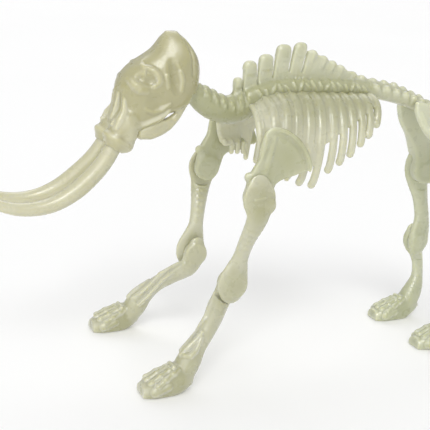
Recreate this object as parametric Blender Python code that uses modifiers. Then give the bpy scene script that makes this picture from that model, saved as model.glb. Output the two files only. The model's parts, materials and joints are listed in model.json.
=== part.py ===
"""Push-fit skeleton figure of a mammoth, moulded in twenty plastic pieces.

The figure stands on z = 0 and faces -X, with its left side towards -Y. Places and sizes are
written in millimetres and turned into metres where a mesh is made. The origin is under the
middle of the whole figure. Limbs are written for one side; their Y values count outwards from
the middle plane, and a side factor of -1 (left) or +1 (right) places them.
"""

import math

import bmesh
import bpy
from mathutils import Matrix, Vector

MM = 0.001
GAP = 0.35                    # clearance between neighbouring mouldings
PIN_GAP = 0.3                 # clearance of a pin in its hole
SIDES = (("left", -1), ("right", 1))
RING_POINTS = 12              # corners of a lofted section
ROUND_POINTS = 16             # corners of a turned boss, pin or hole

# Joint axes, all parallel to Y, as (x, z).
HEAD_PIVOT = (-30.2, 111.8)
JAW_PIVOT = (-34.6, 107.2)
SHOULDER = (-7.6, 74.5)
ELBOW = (-12.4, 37.8)
HIP = (98.6, 75.1)
KNEE = (102.7, 39.1)
TAIL_PIVOT = (93.5, 102.5)

# Distance from the middle plane to the face where the two mouldings of a joint meet.
SHOULDER_FACE = 26.3
ELBOW_FACE = 20.0
HIP_FACE = 15.8
KNEE_FACE = 18.2

LIMB_PIN = 1.8                # radius of the four pins on each side
HEAD_PIN = 1.6
JAW_PIN = 1.3
TAIL_PIN = 1.1
RIB_PEG = 1.5                 # radius of the pegs that key ribs and pelvis to the backbone
BLADE_PEG = 1.6

# Places of the fixed pegs, as (x, z).
RIB_PEGS = ((13.0, 113.0), (40.0, 113.4))
PELVIS_PEGS = ((80.0, 107.0), (86.4, 104.6))
BLADE_PEG_PLACE = (2.6, 94.0)

TUSK_SPREAD = (5.3, 7.9)      # outward place of a tusk at its root and at its widest
TUSK_PATH = (                 # x, z along the middle of a tusk, from root to tip
    (-56.6, 96.2), (-60.3, 90.1), (-63.6, 84.7), (-68.2, 79.4), (-74.6, 73.7), (-81.4, 69.7),
    (-88.0, 67.8), (-95.0, 67.5), (-101.6, 68.8), (-108.0, 71.9), (-113.4, 76.6), (-117.4, 82.6),
)
TUSK_RADIUS = (3.1, 3.35, 2.4, 1.0)   # at the root, a third, two thirds and the tip

RIB_COUNT = 12
RIB_ROWS = 10                 # rows of faces from the backbone to a rib's tip
RIB_WIDTH = 3.2
RIB_THICK = 2.2
RIB_TOP_X = (1.6, 51.0)       # first and last rib where they leave the backbone
RIB_TOP_Z = 110.5
RIB_TIPS = (                  # x, z of each rib's tip
    (-7.4, 86.2), (-2.2, 82.6), (2.2, 81.2), (6.9, 80.0), (12.7, 77.4), (19.0, 76.2),
    (25.4, 82.2), (30.2, 85.4), (34.8, 88.6), (39.4, 92.8), (43.4, 96.2), (46.6, 100.2),
)
RIB_BULGE = 20.6              # outward reach of the middle ribs' centre line
FLANGE_Y = 6.1                # middle of the strip that lies on the backbone's flank

SPINE_TIPS = (                # middle x, top z and width of the separate neural spines
    (-7.9, 116.8, 3.8), (-2.8, 123.7, 5.3), (4.1, 126.7, 7.1), (11.4, 130.5, 6.7), (18.4, 131.7, 6.0),
)
SPINE_FEET = (-9.6, -4.1, 1.8, 8.8, 15.0)   # middle x of the same spines at the backbone
SLIT_FLOORS = (112.0, 114.6, 117.6, 120.2, 120.0)
CREST = (                     # x, z of the bumps behind the separate spines
    (24.6, 129.1), (29.9, 126.9), (34.4, 125.1), (38.5, 123.4), (44.7, 120.9), (49.3, 119.5),
    (55.0, 118.4), (60.6, 117.7), (65.9, 116.9), (70.8, 115.2), (75.2, 113.5), (79.7, 111.9),
    (84.3, 109.7),
)


# ---------------------------------------------------------------- scene and helpers

def clear_scene():
    for item in list(bpy.data.objects):
        bpy.data.objects.remove(item, do_unlink=True)


clear_scene()
FIGURE = bpy.data.collections.new("mammoth_skeleton")
CUTTERS = bpy.data.collections.new("cutters")
for collection in (FIGURE, CUTTERS):
    bpy.context.scene.collection.children.link(collection)


def plastic(name, colour):
    """The pale translucent plastic of one piece."""
    material = bpy.data.materials.new(name + "_plastic")
    material.use_nodes = True
    shader = material.node_tree.nodes["Principled BSDF"]
    shader.inputs["Base Color"].default_value = (*colour, 1.0)
    shader.inputs["Roughness"].default_value = 0.32
    shader.inputs["Metallic"].default_value = 0.0
    return material


def new_object(name, mesh, collection=CUTTERS):
    made = bpy.data.objects.new(name, mesh)
    collection.objects.link(made)
    return made


def mesh_from(bm, name):
    bmesh.ops.recalc_face_normals(bm, faces=bm.faces)
    mesh = bpy.data.meshes.new(name)
    bm.to_mesh(mesh)
    bm.free()
    return mesh


def ring_points(front, back, y, half_width, power):
    """A closed superellipse ring that spans front to back (x, z) and half_width each way in Y."""
    front, back = Vector(front), Vector(back)
    middle, reach = (front + back) / 2, (front - back) / 2
    points = []
    for step in range(RING_POINTS):
        angle = 2 * math.pi * step / RING_POINTS
        along = math.copysign(abs(math.cos(angle)) ** (2 / power), math.cos(angle))
        aside = math.copysign(abs(math.sin(angle)) ** (2 / power), math.sin(angle))
        spot = middle + reach * along
        points.append(Vector((spot.x, y + half_width * aside, spot.y)) * MM)
    return points


def loft(name, stations, side=1, power=2.0):
    """A closed body through rings. A station is (front, back, y, half_width)."""
    bm = bmesh.new()
    rings = []
    for front, back, y, half_width in stations:
        points = ring_points(front, back, side * y, half_width, power)
        rings.append([bm.verts.new(point) for point in points])
    for ring, following in zip(rings, rings[1:]):
        for corner in range(RING_POINTS):
            after = (corner + 1) % RING_POINTS
            bm.faces.new((ring[corner], ring[after], following[after], following[corner]))
    bm.faces.new(rings[0])
    bm.faces.new(rings[-1])
    return new_object(name, mesh_from(bm, name))


def bone(name, stations, side):
    """A lofted limb bone. A station is (x, y, z, half size in the XZ plane, half size in Y)."""
    places = [Vector((x, z)) for x, _, z, _, _ in stations]
    rings = []
    for index, (_, y, _, reach, half_width) in enumerate(stations):
        before = places[max(index - 1, 0)]
        after = places[min(index + 1, len(places) - 1)]
        heading = (after - before).normalized()
        across = Vector((-heading.y, heading.x)) * reach
        rings.append((places[index] + across, places[index] - across, y, half_width))
    return loft(name, rings, side)


def disc(name, centre, near_y, far_y, radius):
    """A cylinder along Y between two distances from the middle plane, centred on (x, z)."""
    bm = bmesh.new()
    bmesh.ops.create_cone(
        bm, cap_ends=True, segments=ROUND_POINTS,
        radius1=radius * MM, radius2=radius * MM, depth=abs(far_y - near_y) * MM,
        matrix=Matrix.Rotation(math.radians(90), 4, "X"),
    )
    place = Vector((centre[0], (near_y + far_y) / 2, centre[1])) * MM
    bmesh.ops.translate(bm, verts=bm.verts, vec=place)
    return new_object(name, mesh_from(bm, name))


def block(name, low, high):
    """A box between two corners."""
    bm = bmesh.new()
    bmesh.ops.create_cube(bm, size=1.0)
    size = Vector(high) - Vector(low)
    bmesh.ops.scale(bm, verts=bm.verts, vec=size * MM)
    bmesh.ops.translate(bm, verts=bm.verts, vec=(Vector(low) + Vector(high)) / 2 * MM)
    return new_object(name, mesh_from(bm, name))


def ball(name, centre, radii):
    """An ellipsoid."""
    bm = bmesh.new()
    bmesh.ops.create_uvsphere(bm, u_segments=8, v_segments=6, radius=1.0)
    bmesh.ops.scale(bm, verts=bm.verts, vec=Vector(radii) * MM)
    bmesh.ops.translate(bm, verts=bm.verts, vec=Vector(centre) * MM)
    return new_object(name, mesh_from(bm, name))


def as_mesh(curve_object):
    """Turns a filled or bevelled curve into a closed mesh object, with its placement applied."""
    bpy.context.view_layer.update()
    depsgraph = bpy.context.evaluated_depsgraph_get()
    mesh = bpy.data.meshes.new_from_object(curve_object.evaluated_get(depsgraph))
    bm = bmesh.new()
    bm.from_mesh(mesh)
    bmesh.ops.remove_doubles(bm, verts=bm.verts, dist=0.01 * MM)
    bmesh.ops.transform(bm, matrix=curve_object.matrix_world, verts=bm.verts)
    bpy.data.meshes.remove(mesh)
    name = curve_object.name
    bpy.data.objects.remove(curve_object)
    return new_object(name, mesh_from(bm, name))


def plate(name, outline, middle_y, half_thickness):
    """A flat plate in the XZ plane, cut to a closed outline of (x, z) points."""
    curve = bpy.data.curves.new(name, "CURVE")
    curve.dimensions = "2D"
    curve.fill_mode = "BOTH"
    curve.extrude = half_thickness * MM
    spline = curve.splines.new("POLY")
    spline.points.add(len(outline) - 1)
    for point, (x, z) in zip(spline.points, outline):
        point.co = (x * MM, z * MM, 0.0, 1.0)
    spline.use_cyclic_u = True
    drawn = new_object(name, curve)
    drawn.matrix_world = Matrix.Translation((0, middle_y * MM, 0)) @ Matrix.Rotation(
        math.radians(90), 4, "X"
    )
    return as_mesh(drawn)


def tube(name, path, radii, resolution=2):
    """A round bar along (x, y, z) points, with a radius at each."""
    curve = bpy.data.curves.new(name, "CURVE")
    curve.dimensions = "3D"
    curve.bevel_depth = MM
    curve.bevel_resolution = resolution
    curve.use_fill_caps = True
    spline = curve.splines.new("POLY")
    spline.points.add(len(path) - 1)
    for point, place, radius in zip(spline.points, path, radii):
        point.co = (*(Vector(place) * MM), 1.0)
        point.radius = radius
    return as_mesh(new_object(name, curve))


def arc(centre, radius, start, end, count):
    """Points (x, z) on an arc, with angles in degrees."""
    points = []
    for step in range(count):
        angle = math.radians(start + (end - start) * step / (count - 1))
        points.append((centre[0] + radius * math.cos(angle), centre[1] + radius * math.sin(angle)))
    return points


def boolean(piece, tool, operation):
    modifier = piece.modifiers.new(operation.lower() + "_" + tool.name, "BOOLEAN")
    modifier.operation = operation
    modifier.solver = "EXACT"
    modifier.object = tool
    tool.display_type = "WIRE"
    tool.hide_render = True


def join(piece, *tools):
    for tool in tools:
        boolean(piece, tool, "UNION")


def cut(piece, *tools):
    for tool in tools:
        boolean(piece, tool, "DIFFERENCE")


def finish(piece, colour, axis=None, axis_y=0.0):
    """Moves a finished piece into the figure's collection and gives it its material.

    A piece that swings gets its origin on the joint's axis, at (x, z) and a place along Y.
    """
    if axis:
        origin = Vector((axis[0], axis_y, axis[1])) * MM
        piece.data.transform(Matrix.Translation(-origin))
        piece.location = origin
    CUTTERS.objects.unlink(piece)
    FIGURE.objects.link(piece)
    piece.data.materials.clear()
    piece.data.materials.append(plastic(piece.name, colour))
    piece.data.shade_smooth()
    piece.data.set_sharp_from_angle(angle=math.radians(40))
    return piece


def blend_values(values, share):
    """Reads evenly spaced values at a share from 0 to 1."""
    place = share * (len(values) - 1)
    index = min(int(place), len(values) - 2)
    return values[index] + (values[index + 1] - values[index]) * (place - index)


# ---------------------------------------------------------------- head

def make_skull():
    """Domed skull: lofted from crown to muzzle, with sockets, a neck slot and jaw pockets."""
    skull = loft("skull", (
        ((-39.0, 134.1), (-35.4, 134.1), 0, 2.8),
        ((-41.3, 131.0), (-31.2, 131.2), 0, 6.4),
        ((-44.6, 126.4), (-27.8, 126.6), 0, 8.6),
        ((-51.8, 122.0), (-26.0, 120.0), 0, 10.0),
        ((-57.8, 116.2), (-26.2, 113.0), 0, 10.8),
        ((-59.2, 110.6), (-27.4, 106.4), 0, 10.6),
        ((-59.2, 105.2), (-37.0, 102.6), 0, 10.0),
        ((-60.4, 100.8), (-49.2, 99.4), 0, 9.4),
        ((-64.4, 97.0), (-51.7, 94.4), 0, 10.3),
        ((-63.6, 91.8), (-52.9, 88.4), 0, 10.5),
    ), power=2.6)
    for name, side in SIDES:
        socket = tube(
            "socket_" + name,
            [(-55.4, side * 5.3, 98.2), (-61.6, side * 5.3, 87.9)],
            [TUSK_RADIUS[0] + GAP + 0.1] * 2, resolution=4,
        )
        orbit = ball("orbit_" + name, (-51.0, side * 12.2, 117.0), (4.6, 4.0, 4.4))
        pocket = block(
            "jaw_pocket_" + name,
            (-40.6, min(side * 3.0, side * 7.4), 92.0),
            (-24.0, max(side * 3.0, side * 7.4), JAW_PIVOT[1] + 3.4),
        )
        hole = disc("jaw_hole_" + name, JAW_PIVOT, side * 7.0, side * 8.7, JAW_PIN + PIN_GAP)
        cut(skull, socket, orbit, pocket, hole)
    neck_room = disc("neck_room", HEAD_PIVOT, -3.5, 3.5, 5.0)
    neck_slot = block("neck_slot", (HEAD_PIVOT[0] - 0.1, -3.6, 104.3), (-20.0, 3.6, 117.9))
    neck_hole = disc("neck_hole", HEAD_PIVOT, -5.8, 5.8, HEAD_PIN + PIN_GAP)
    cut(skull, neck_hole, neck_room, neck_slot)
    return finish(skull, (0.66, 0.66, 0.44), HEAD_PIVOT)


def make_lower_jaw():
    """Deep curved jaw: a crescent plate whose rear part is split into two arms with pins."""
    lower_edge = [
        (-51.0, 94.6), (-49.6, 93.8), (-46.1, 93.8), (-42.9, 94.6), (-40.1, 96.0), (-36.3, 99.3),
        (-34.4, 101.6), (-32.5, 104.1),
    ]
    condyle = arc(JAW_PIVOT, 3.0, -40, 140, 7)
    upper_edge = [(-37.0, 103.1), (-39.7, 101.1), (-42.9, 99.6), (-45.6, 98.2), (-50.4, 95.8)]
    jaw = plate("lower_jaw", lower_edge + condyle + upper_edge, 0, 7.0)
    cut(jaw, block("jaw_room", (-45.0, -4.2, 80.0), (-20.0, 4.2, 114.0)))
    for name, side in SIDES:
        join(jaw, disc("jaw_pin_" + name, JAW_PIVOT, side * 6.0, side * 8.4, JAW_PIN))
    return finish(jaw, (0.66, 0.66, 0.46), JAW_PIVOT)


def make_tusk(name, side):
    """Curved tapering tusk, pushed into its socket."""
    path, radii = [], []
    for index, (x, z) in enumerate(TUSK_PATH):
        share = index / (len(TUSK_PATH) - 1)
        spread = TUSK_SPREAD[0] + (TUSK_SPREAD[1] - TUSK_SPREAD[0]) * math.sin(
            math.pi * max(0.0, share - 0.09)
        )
        path.append((x, side * spread, z))
        radii.append(blend_values(TUSK_RADIUS, share))
    return finish(tube("tusk_" + name, path, radii), (0.70, 0.68, 0.46), HEAD_PIVOT)


# ---------------------------------------------------------------- trunk

def crest_outline():
    """Outline of the fin: five round-topped spines with slits between, then a falling crest."""
    outline = []
    for index, ((top_x, top_z, width), foot_x) in enumerate(zip(SPINE_TIPS, SPINE_FEET)):
        half = width / 2 - 0.25
        crown = arc((top_x, top_z - half), half, 180, 0, 7)
        if index == 0:
            outline.append((foot_x - half + 0.4, 106.0))
        outline.extend(crown)
        if index < len(SPINE_TIPS) - 1:
            following = SPINE_FEET[index + 1]
            middle = (foot_x + following) / 2 + 0.4
            outline.append((middle - 0.35, SLIT_FLOORS[index]))
            outline.append((middle + 0.35, SLIT_FLOORS[index]))
        else:
            outline.append((20.1, SLIT_FLOORS[-1]))
            outline.append((20.8, SLIT_FLOORS[-1]))
    for (x, z), (next_x, next_z) in zip(CREST, CREST[1:]):
        width = min(next_x - x, 5.0)
        outline.append((x - width * 0.28, z - 0.5))
        outline.append((x + width * 0.22, z))
        outline.append((x + width * 0.62, (z + next_z) / 2 - 0.9))
    outline.append(CREST[-1])
    outline.append((86.0, 105.0))
    outline.append((50.0, 112.0))
    outline.append((10.0, 110.0))
    return outline


def make_backbone():
    """Neck, vertebrae and sacrum in one moulding, with the fin of neural spines on top."""
    backbone = loft("backbone", (
        ((-27.0, 114.4), (-28.8, 106.6), 0, 2.9),
        ((-24.6, 114.2), (-26.4, 104.4), 0, 3.3),
        ((-20.6, 113.2), (-22.6, 101.6), 0, 4.5),
        ((-16.8, 110.9), (-17.6, 99.4), 0, 5.0),
        ((-11.0, 110.0), (-11.4, 98.2), 0, 5.0),
        ((-5.4, 112.0), (-5.6, 99.6), 0, 5.0),
        ((0.4, 115.0), (0.4, 103.2), 0, 4.9),
        ((8.0, 117.0), (7.4, 106.6), 0, 4.5),
        ((20.0, 118.5), (19.6, 108.6), 0, 4.5),
        ((36.0, 118.3), (35.8, 109.4), 0, 4.5),
        ((50.0, 117.3), (50.0, 109.6), 0, 4.5),
        ((60.0, 116.2), (60.0, 109.2), 0, 4.3),
        ((71.4, 113.4), (70.6, 107.2), 0, 4.0),
        ((83.0, 109.2), (81.8, 103.8), 0, 3.8),
        ((90.4, 106.0), (89.0, 100.6), 0, 3.0),
    ))
    fin = plate("fin", crest_outline(), 0, 1.5)
    head_knuckle = disc("head_knuckle", HEAD_PIVOT, -3.1, 3.1, 4.4)
    head_pin = disc("head_pin", HEAD_PIVOT, -5.4, 5.4, HEAD_PIN)
    tail_tongue = block("tail_tongue", (87.0, -1.3, 100.4), (TAIL_PIVOT[0], 1.3, 104.6))
    tail_knuckle = disc("tail_knuckle", TAIL_PIVOT, -1.3, 1.3, 2.8)
    tail_pin = disc("tail_pin", TAIL_PIVOT, -2.7, 2.7, TAIL_PIN)
    join(backbone, fin, head_knuckle, head_pin, tail_tongue, tail_knuckle, tail_pin)
    for name, side in SIDES:
        for number, place in enumerate(RIB_PEGS + PELVIS_PEGS):
            label = "peg_hole_%s_%d" % (name, number)
            cut(backbone, disc(label, place, side * 1.0, side * 8.0, RIB_PEG + PIN_GAP))
    return finish(backbone, (0.55, 0.57, 0.36))


def rib_point(rib, row, edge):
    """A point on one edge of a rib, where edge is -1 in front and +1 behind."""
    share = rib / (RIB_COUNT - 1)
    top_x = RIB_TOP_X[0] + (RIB_TOP_X[1] - RIB_TOP_X[0]) * share
    tip_x, tip_z = RIB_TIPS[rib]
    if row == 0:
        return Vector((top_x + edge * RIB_WIDTH / 2, FLANGE_Y, RIB_TOP_Z + 4.5))
    step = (row - 1) / (RIB_ROWS - 1)
    last_angle = math.radians(112 - 30 * max(0.0, share - 0.45) / 0.55)
    angle = last_angle * step
    drop = (RIB_TOP_Z - tip_z) / (1 - math.cos(last_angle))
    reach = RIB_BULGE - FLANGE_Y - 8.0 * max(0.0, share - 0.4) ** 2 - 5.0 * max(0.0, 0.2 - share)
    x = top_x + (tip_x - top_x) * (1 - math.cos(angle)) / (1 - math.cos(last_angle))
    width = RIB_WIDTH / 2 * (0.55 if row == RIB_ROWS else 1.0)
    return Vector((
        x + edge * width,
        FLANGE_Y + reach * math.sin(angle),
        RIB_TOP_Z - drop * (1 - math.cos(angle)),
    ))


def web_rows(rib):
    """How many rows of the gap behind this rib are filled by the web."""
    return 6 if rib < 4 else 5 if rib < 8 else 4


def make_rib_cage(name, side):
    """Twelve ribs of one side, webbed together near the backbone, as a bent sheet."""
    bm = bmesh.new()
    columns = 2 * RIB_COUNT
    bmesh.ops.create_grid(bm, x_segments=columns - 1, y_segments=RIB_ROWS, size=0.5)
    bm.verts.ensure_lookup_table()
    spots = {}
    for vertex in bm.verts:
        column = round((vertex.co.x + 0.5) * (columns - 1))
        row = round((0.5 - vertex.co.y) * RIB_ROWS)
        spots[vertex] = (column, row)
    gaps = []
    for face in bm.faces:
        first = min(spots[vertex][0] for vertex in face.verts)
        row = min(spots[vertex][1] for vertex in face.verts)
        if first % 2 == 1 and row >= web_rows(first // 2):
            gaps.append(face)
    bmesh.ops.delete(bm, geom=gaps, context="FACES")
    for vertex in bm.verts:
        column, row = spots[vertex]
        place = rib_point(column // 2, row, 2 * (column % 2) - 1)
        vertex.co = Vector((place.x, side * place.y, place.z)) * MM
    cage = new_object("rib_cage_" + name, mesh_from(bm, "rib_cage_" + name))
    sheet = cage.modifiers.new("thickness", "SOLIDIFY")
    sheet.thickness = RIB_THICK * MM
    sheet.offset = 0.0
    for number, place in enumerate(RIB_PEGS):
        label = "rib_peg_%s_%d" % (name, number)
        join(cage, disc(label, place, side * 1.4, side * (FLANGE_Y + 0.4), RIB_PEG))
    hole = disc("blade_hole_" + name, BLADE_PEG_PLACE, side * 14.0, side * 24.0, BLADE_PEG + PIN_GAP)
    cut(cage, hole)
    return finish(cage, (0.72, 0.74, 0.55))


def make_shoulder_blade(name, side):
    """Fan-shaped plate that lies on the ribs and carries the shoulder's boss."""
    outline = [
        (-12.4, 77.6), (-11.2, 83.4), (-8.4, 88.8), (-8.0, 93.4), (-7.2, 97.3), (-6.1, 100.2),
        (-4.3, 101.5), (-2.0, 102.0), (1.0, 101.5), (4.1, 100.4), (7.9, 98.0), (11.5, 94.5),
        (14.2, 90.1), (15.5, 85.7), (11.8, 84.3), (7.6, 82.8), (3.3, 81.5), (-0.4, 79.6),
        (-1.6, 75.4), (-4.0, 71.6),
    ]
    blade = plate("shoulder_blade_" + name, outline, side * (SHOULDER_FACE - 1.5), 1.2)
    boss = disc("shoulder_boss_" + name, SHOULDER, side * 22.6, side * SHOULDER_FACE, 5.6)
    peg = disc("blade_peg_" + name, BLADE_PEG_PLACE, side * 18.4, side * 24.8, BLADE_PEG)
    join(blade, boss, peg)
    cut(blade, disc(
        "shoulder_hole_" + name, SHOULDER, side * 23.6, side * 27.0, LIMB_PIN + PIN_GAP,
    ))
    return finish(blade, (0.60, 0.62, 0.42))


def make_pelvis(name, side):
    """Half of the pelvis: a leaning blade from the sacrum down to the hip's boss."""
    pelvis = loft("pelvis_" + name, (
        ((75.8, 108.4), (99.6, 105.4), 5.9, 1.2),
        ((75.8, 104.8), (102.4, 101.6), 6.6, 1.5),
        ((79.2, 98.4), (103.0, 96.4), 8.4, 1.6),
        ((83.2, 92.2), (103.2, 91.2), 10.2, 1.8),
        ((87.4, 85.6), (104.2, 85.4), 11.8, 2.2),
        ((88.8, 79.6), (107.2, 79.4), 12.8, 2.4),
        ((91.2, 74.0), (109.4, 72.6), 13.2, 2.2),
        ((95.8, 69.4), (108.2, 67.6), 13.2, 1.6),
    ), side)
    boss = disc("hip_boss_" + name, HIP, side * 10.6, side * HIP_FACE, 7.0)
    join(pelvis, boss)
    for number, place in enumerate(PELVIS_PEGS):
        label = "pelvis_peg_%s_%d" % (name, number)
        join(pelvis, disc(label, place, side * 1.4, side * 6.2, RIB_PEG))
    cut(pelvis, disc("hip_hole_" + name, HIP, side * 12.4, side * 17.0, LIMB_PIN + PIN_GAP))
    return finish(pelvis, (0.64, 0.66, 0.46))


def make_tail():
    """Short hanging tail on a pin behind the sacrum."""
    path = [
        (94.0, 0, 102.5), (97.6, 0, 101.6), (102.0, 0, 99.0), (106.4, 0, 94.6), (109.8, 0, 88.8),
        (112.6, 0, 82.4), (114.8, 0, 75.6), (116.6, 0, 68.4), (117.3, 0, 65.0),
    ]
    radii = [2.7, 2.7, 2.5, 2.3, 2.1, 1.9, 1.6, 1.3, 0.9]
    tail = tube("tail", path, radii)
    join(tail, disc("tail_root", TAIL_PIVOT, -3.4, 3.4, 3.1))
    cut(
        tail,
        disc("tail_room", TAIL_PIVOT, -1.65, 1.65, 3.4),
        block("tail_slot", (88.0, -1.65, 95.0), (TAIL_PIVOT[0], 1.65, 110.0)),
        disc("tail_hole", TAIL_PIVOT, -4.0, 4.0, TAIL_PIN + PIN_GAP),
    )
    return finish(tail, (0.68, 0.69, 0.49), TAIL_PIVOT)


# ---------------------------------------------------------------- limbs

def add_foot(leg, label, side, toe_x, heel_x, foot_y, toe_spread, heel_lift):
    """A broad foot with five toes, flat under the toes and raised at the heel, joined to a leg."""
    length = heel_x - toe_x
    rings = []
    for share, top, bottom, width in (
        (0.16, 6.6, -2.0, 0.92), (0.42, 9.6, -2.0, 0.96), (0.66, 11.8, -1.6, 0.84),
        (0.86, 9.4, heel_lift, 0.62), (1.0, heel_lift + 4.6, heel_lift + 2.2, 0.40),
    ):
        x = toe_x + share * length
        rings.append(((x, top), (x, bottom), foot_y, toe_spread * width))
    sole = loft("foot_" + label, rings, side, power=2.3)
    join(leg, sole)
    for toe in range(5):
        place = toe - 2
        centre = (
            toe_x + 3.4 + 0.55 * place * place,
            side * (foot_y + place * toe_spread * 0.40),
            2.3,
        )
        join(leg, ball("toe_%s_%d" % (label, toe), centre, (3.2, 1.65, 2.9)))
    cut(leg, block(
        "ground_" + label,
        (toe_x - 6.0, min(0.0, side * 60.0), -8.0),
        (heel_x + 6.0, max(0.0, side * 60.0), 0.0),
    ))


def make_upper_foreleg(name, side):
    """Upper arm bone: knob at the shoulder, shaft, and a wide knob at the elbow."""
    leg = bone("upper_foreleg_" + name, (
        (-8.8, 28.5, 80.6, 3.0, 1.3),
        (-8.2, 28.6, 78.4, 5.4, 1.9),
        (-7.6, 28.6, 73.9, 6.6, 2.0),
        (-7.8, 28.7, 68.2, 5.5, 2.0),
        (-8.5, 27.4, 64.2, 4.4, 2.2),
        (-9.8, 24.9, 57.4, 3.5, 2.3),
        (-11.0, 22.9, 49.8, 3.4, 2.2),
        (-11.7, 22.4, 43.8, 4.7, 2.1),
        (-12.4, 22.3, 38.4, 6.0, 2.0),
        (-13.0, 22.3, 33.9, 5.2, 1.8),
        (-13.3, 22.3, 31.8, 2.8, 1.2),
    ), side)
    join(
        leg,
        disc("shoulder_head_" + name, SHOULDER, side * (SHOULDER_FACE + GAP), side * 30.6, 5.2),
        disc("shoulder_pin_" + name, SHOULDER, side * 24.0, side * 28.0, LIMB_PIN),
        disc("elbow_head_" + name, ELBOW, side * (ELBOW_FACE + GAP), side * 24.2, 5.0),
        disc("elbow_pin_" + name, ELBOW, side * 17.2, side * 22.0, LIMB_PIN),
    )
    return finish(leg, (0.70, 0.72, 0.52), SHOULDER, side * SHOULDER_FACE)


def make_lower_foreleg(name, side):
    """Forearm and forefoot in one moulding."""
    leg = bone("lower_foreleg_" + name, (
        (-11.8, 17.9, 42.9, 2.2, 1.2),
        (-12.1, 17.9, 40.8, 4.5, 1.7),
        (-12.8, 17.9, 36.0, 5.0, 1.9),
        (-14.8, 18.0, 31.6, 4.7, 1.9),
        (-16.0, 18.6, 30.2, 4.5, 1.9),
        (-18.4, 22.4, 27.9, 4.2, 2.2),
        (-21.2, 26.0, 25.0, 3.8, 2.3),
        (-25.4, 28.8, 20.6, 3.5, 2.6),
        (-29.8, 29.9, 15.6, 4.0, 3.2),
        (-33.2, 30.8, 10.8, 5.0, 4.4),
        (-35.6, 31.6, 6.8, 4.6, 4.4),
    ), side)
    join(leg, disc(
        "forearm_head_" + name, ELBOW, side * 16.0, side * (ELBOW_FACE - 0.1), 5.0,
    ))
    add_foot(leg, "front_" + name, side, -53.6, -32.4, 32.6, 6.4, 0.6)
    cut(leg, disc("elbow_hole_" + name, ELBOW, side * 16.8, side * 21.0, LIMB_PIN + PIN_GAP))
    return finish(leg, (0.68, 0.69, 0.48), ELBOW, side * ELBOW_FACE)


def make_thigh(name, side):
    """Thigh bone, outside the pelvis at the hip and inside the shin at the knee."""
    leg = bone("thigh_" + name, (
        (97.6, 18.6, 82.4, 3.0, 1.6),
        (97.8, 18.6, 79.8, 6.2, 2.3),
        (98.4, 18.6, 74.6, 7.4, 2.5),
        (99.6, 18.4, 68.4, 5.9, 2.5),
        (101.8, 17.8, 60.6, 4.2, 2.4),
        (103.3, 16.4, 51.6, 4.0, 2.3),
        (103.1, 15.6, 45.4, 5.0, 2.3),
        (102.7, 15.4, 40.0, 5.6, 2.3),
        (102.6, 15.4, 36.0, 4.4, 2.0),
        (102.6, 15.4, 34.2, 2.2, 1.2),
    ), side)
    join(
        leg,
        disc("hip_head_" + name, HIP, side * (HIP_FACE + GAP), side * 20.6, 5.6),
        disc("hip_pin_" + name, HIP, side * 12.8, side * 18.0, LIMB_PIN),
        disc("knee_head_" + name, KNEE, side * 13.55, side * KNEE_FACE, 4.6),
    )
    cut(leg, disc("knee_hole_" + name, KNEE, side * 14.6, side * 19.0, LIMB_PIN + PIN_GAP))
    return finish(leg, (0.68, 0.70, 0.50), HIP, side * HIP_FACE)


def make_lower_hindleg(name, side):
    """Shin and hind foot in one moulding."""
    leg = bone("lower_hindleg_" + name, (
        (102.4, 20.4, 44.2, 2.4, 1.2),
        (102.5, 20.5, 42.2, 4.6, 1.7),
        (103.0, 20.5, 37.4, 5.0, 1.8),
        (105.8, 20.3, 32.4, 3.8, 1.9),
        (107.4, 19.6, 26.6, 3.0, 1.9),
        (107.5, 18.6, 20.0, 3.3, 2.3),
        (106.0, 17.8, 14.8, 4.8, 3.6),
        (103.6, 17.3, 10.0, 5.6, 4.6),
        (101.4, 17.1, 6.0, 4.6, 4.2),
    ), side)
    join(
        leg,
        disc("shin_head_" + name, KNEE, side * (KNEE_FACE + GAP), side * 22.2, 4.4),
        disc("knee_pin_" + name, KNEE, side * 15.0, side * 20.0, LIMB_PIN),
    )
    add_foot(leg, "hind_" + name, side, 82.0, 108.2, 17.2, 6.0, 3.2)
    return finish(leg, (0.70, 0.71, 0.50), KNEE, side * KNEE_FACE)


make_skull()
make_lower_jaw()
make_backbone()
make_tail()
for side_name, side_factor in SIDES:
    make_tusk(side_name, side_factor)
    make_rib_cage(side_name, side_factor)
    make_shoulder_blade(side_name, side_factor)
    make_pelvis(side_name, side_factor)
    make_upper_foreleg(side_name, side_factor)
    make_lower_foreleg(side_name, side_factor)
    make_thigh(side_name, side_factor)
    make_lower_hindleg(side_name, side_factor)
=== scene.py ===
"""Looks of the mammoth skeleton figure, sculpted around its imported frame.

Each moulding is sculpted as a solid on a grid of distances to its surface, from rods, beads and
slabs that flow into each other, and is then skinned with a mesh. Places are in the frame's own
axes, in millimetres. Limbs are sculpted once, on the +Y side, and mirrored for the other side.
"""

import json
from math import cos, pi, radians, sin

import bpy
import numpy as np
from mathutils import Matrix, Vector


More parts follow.
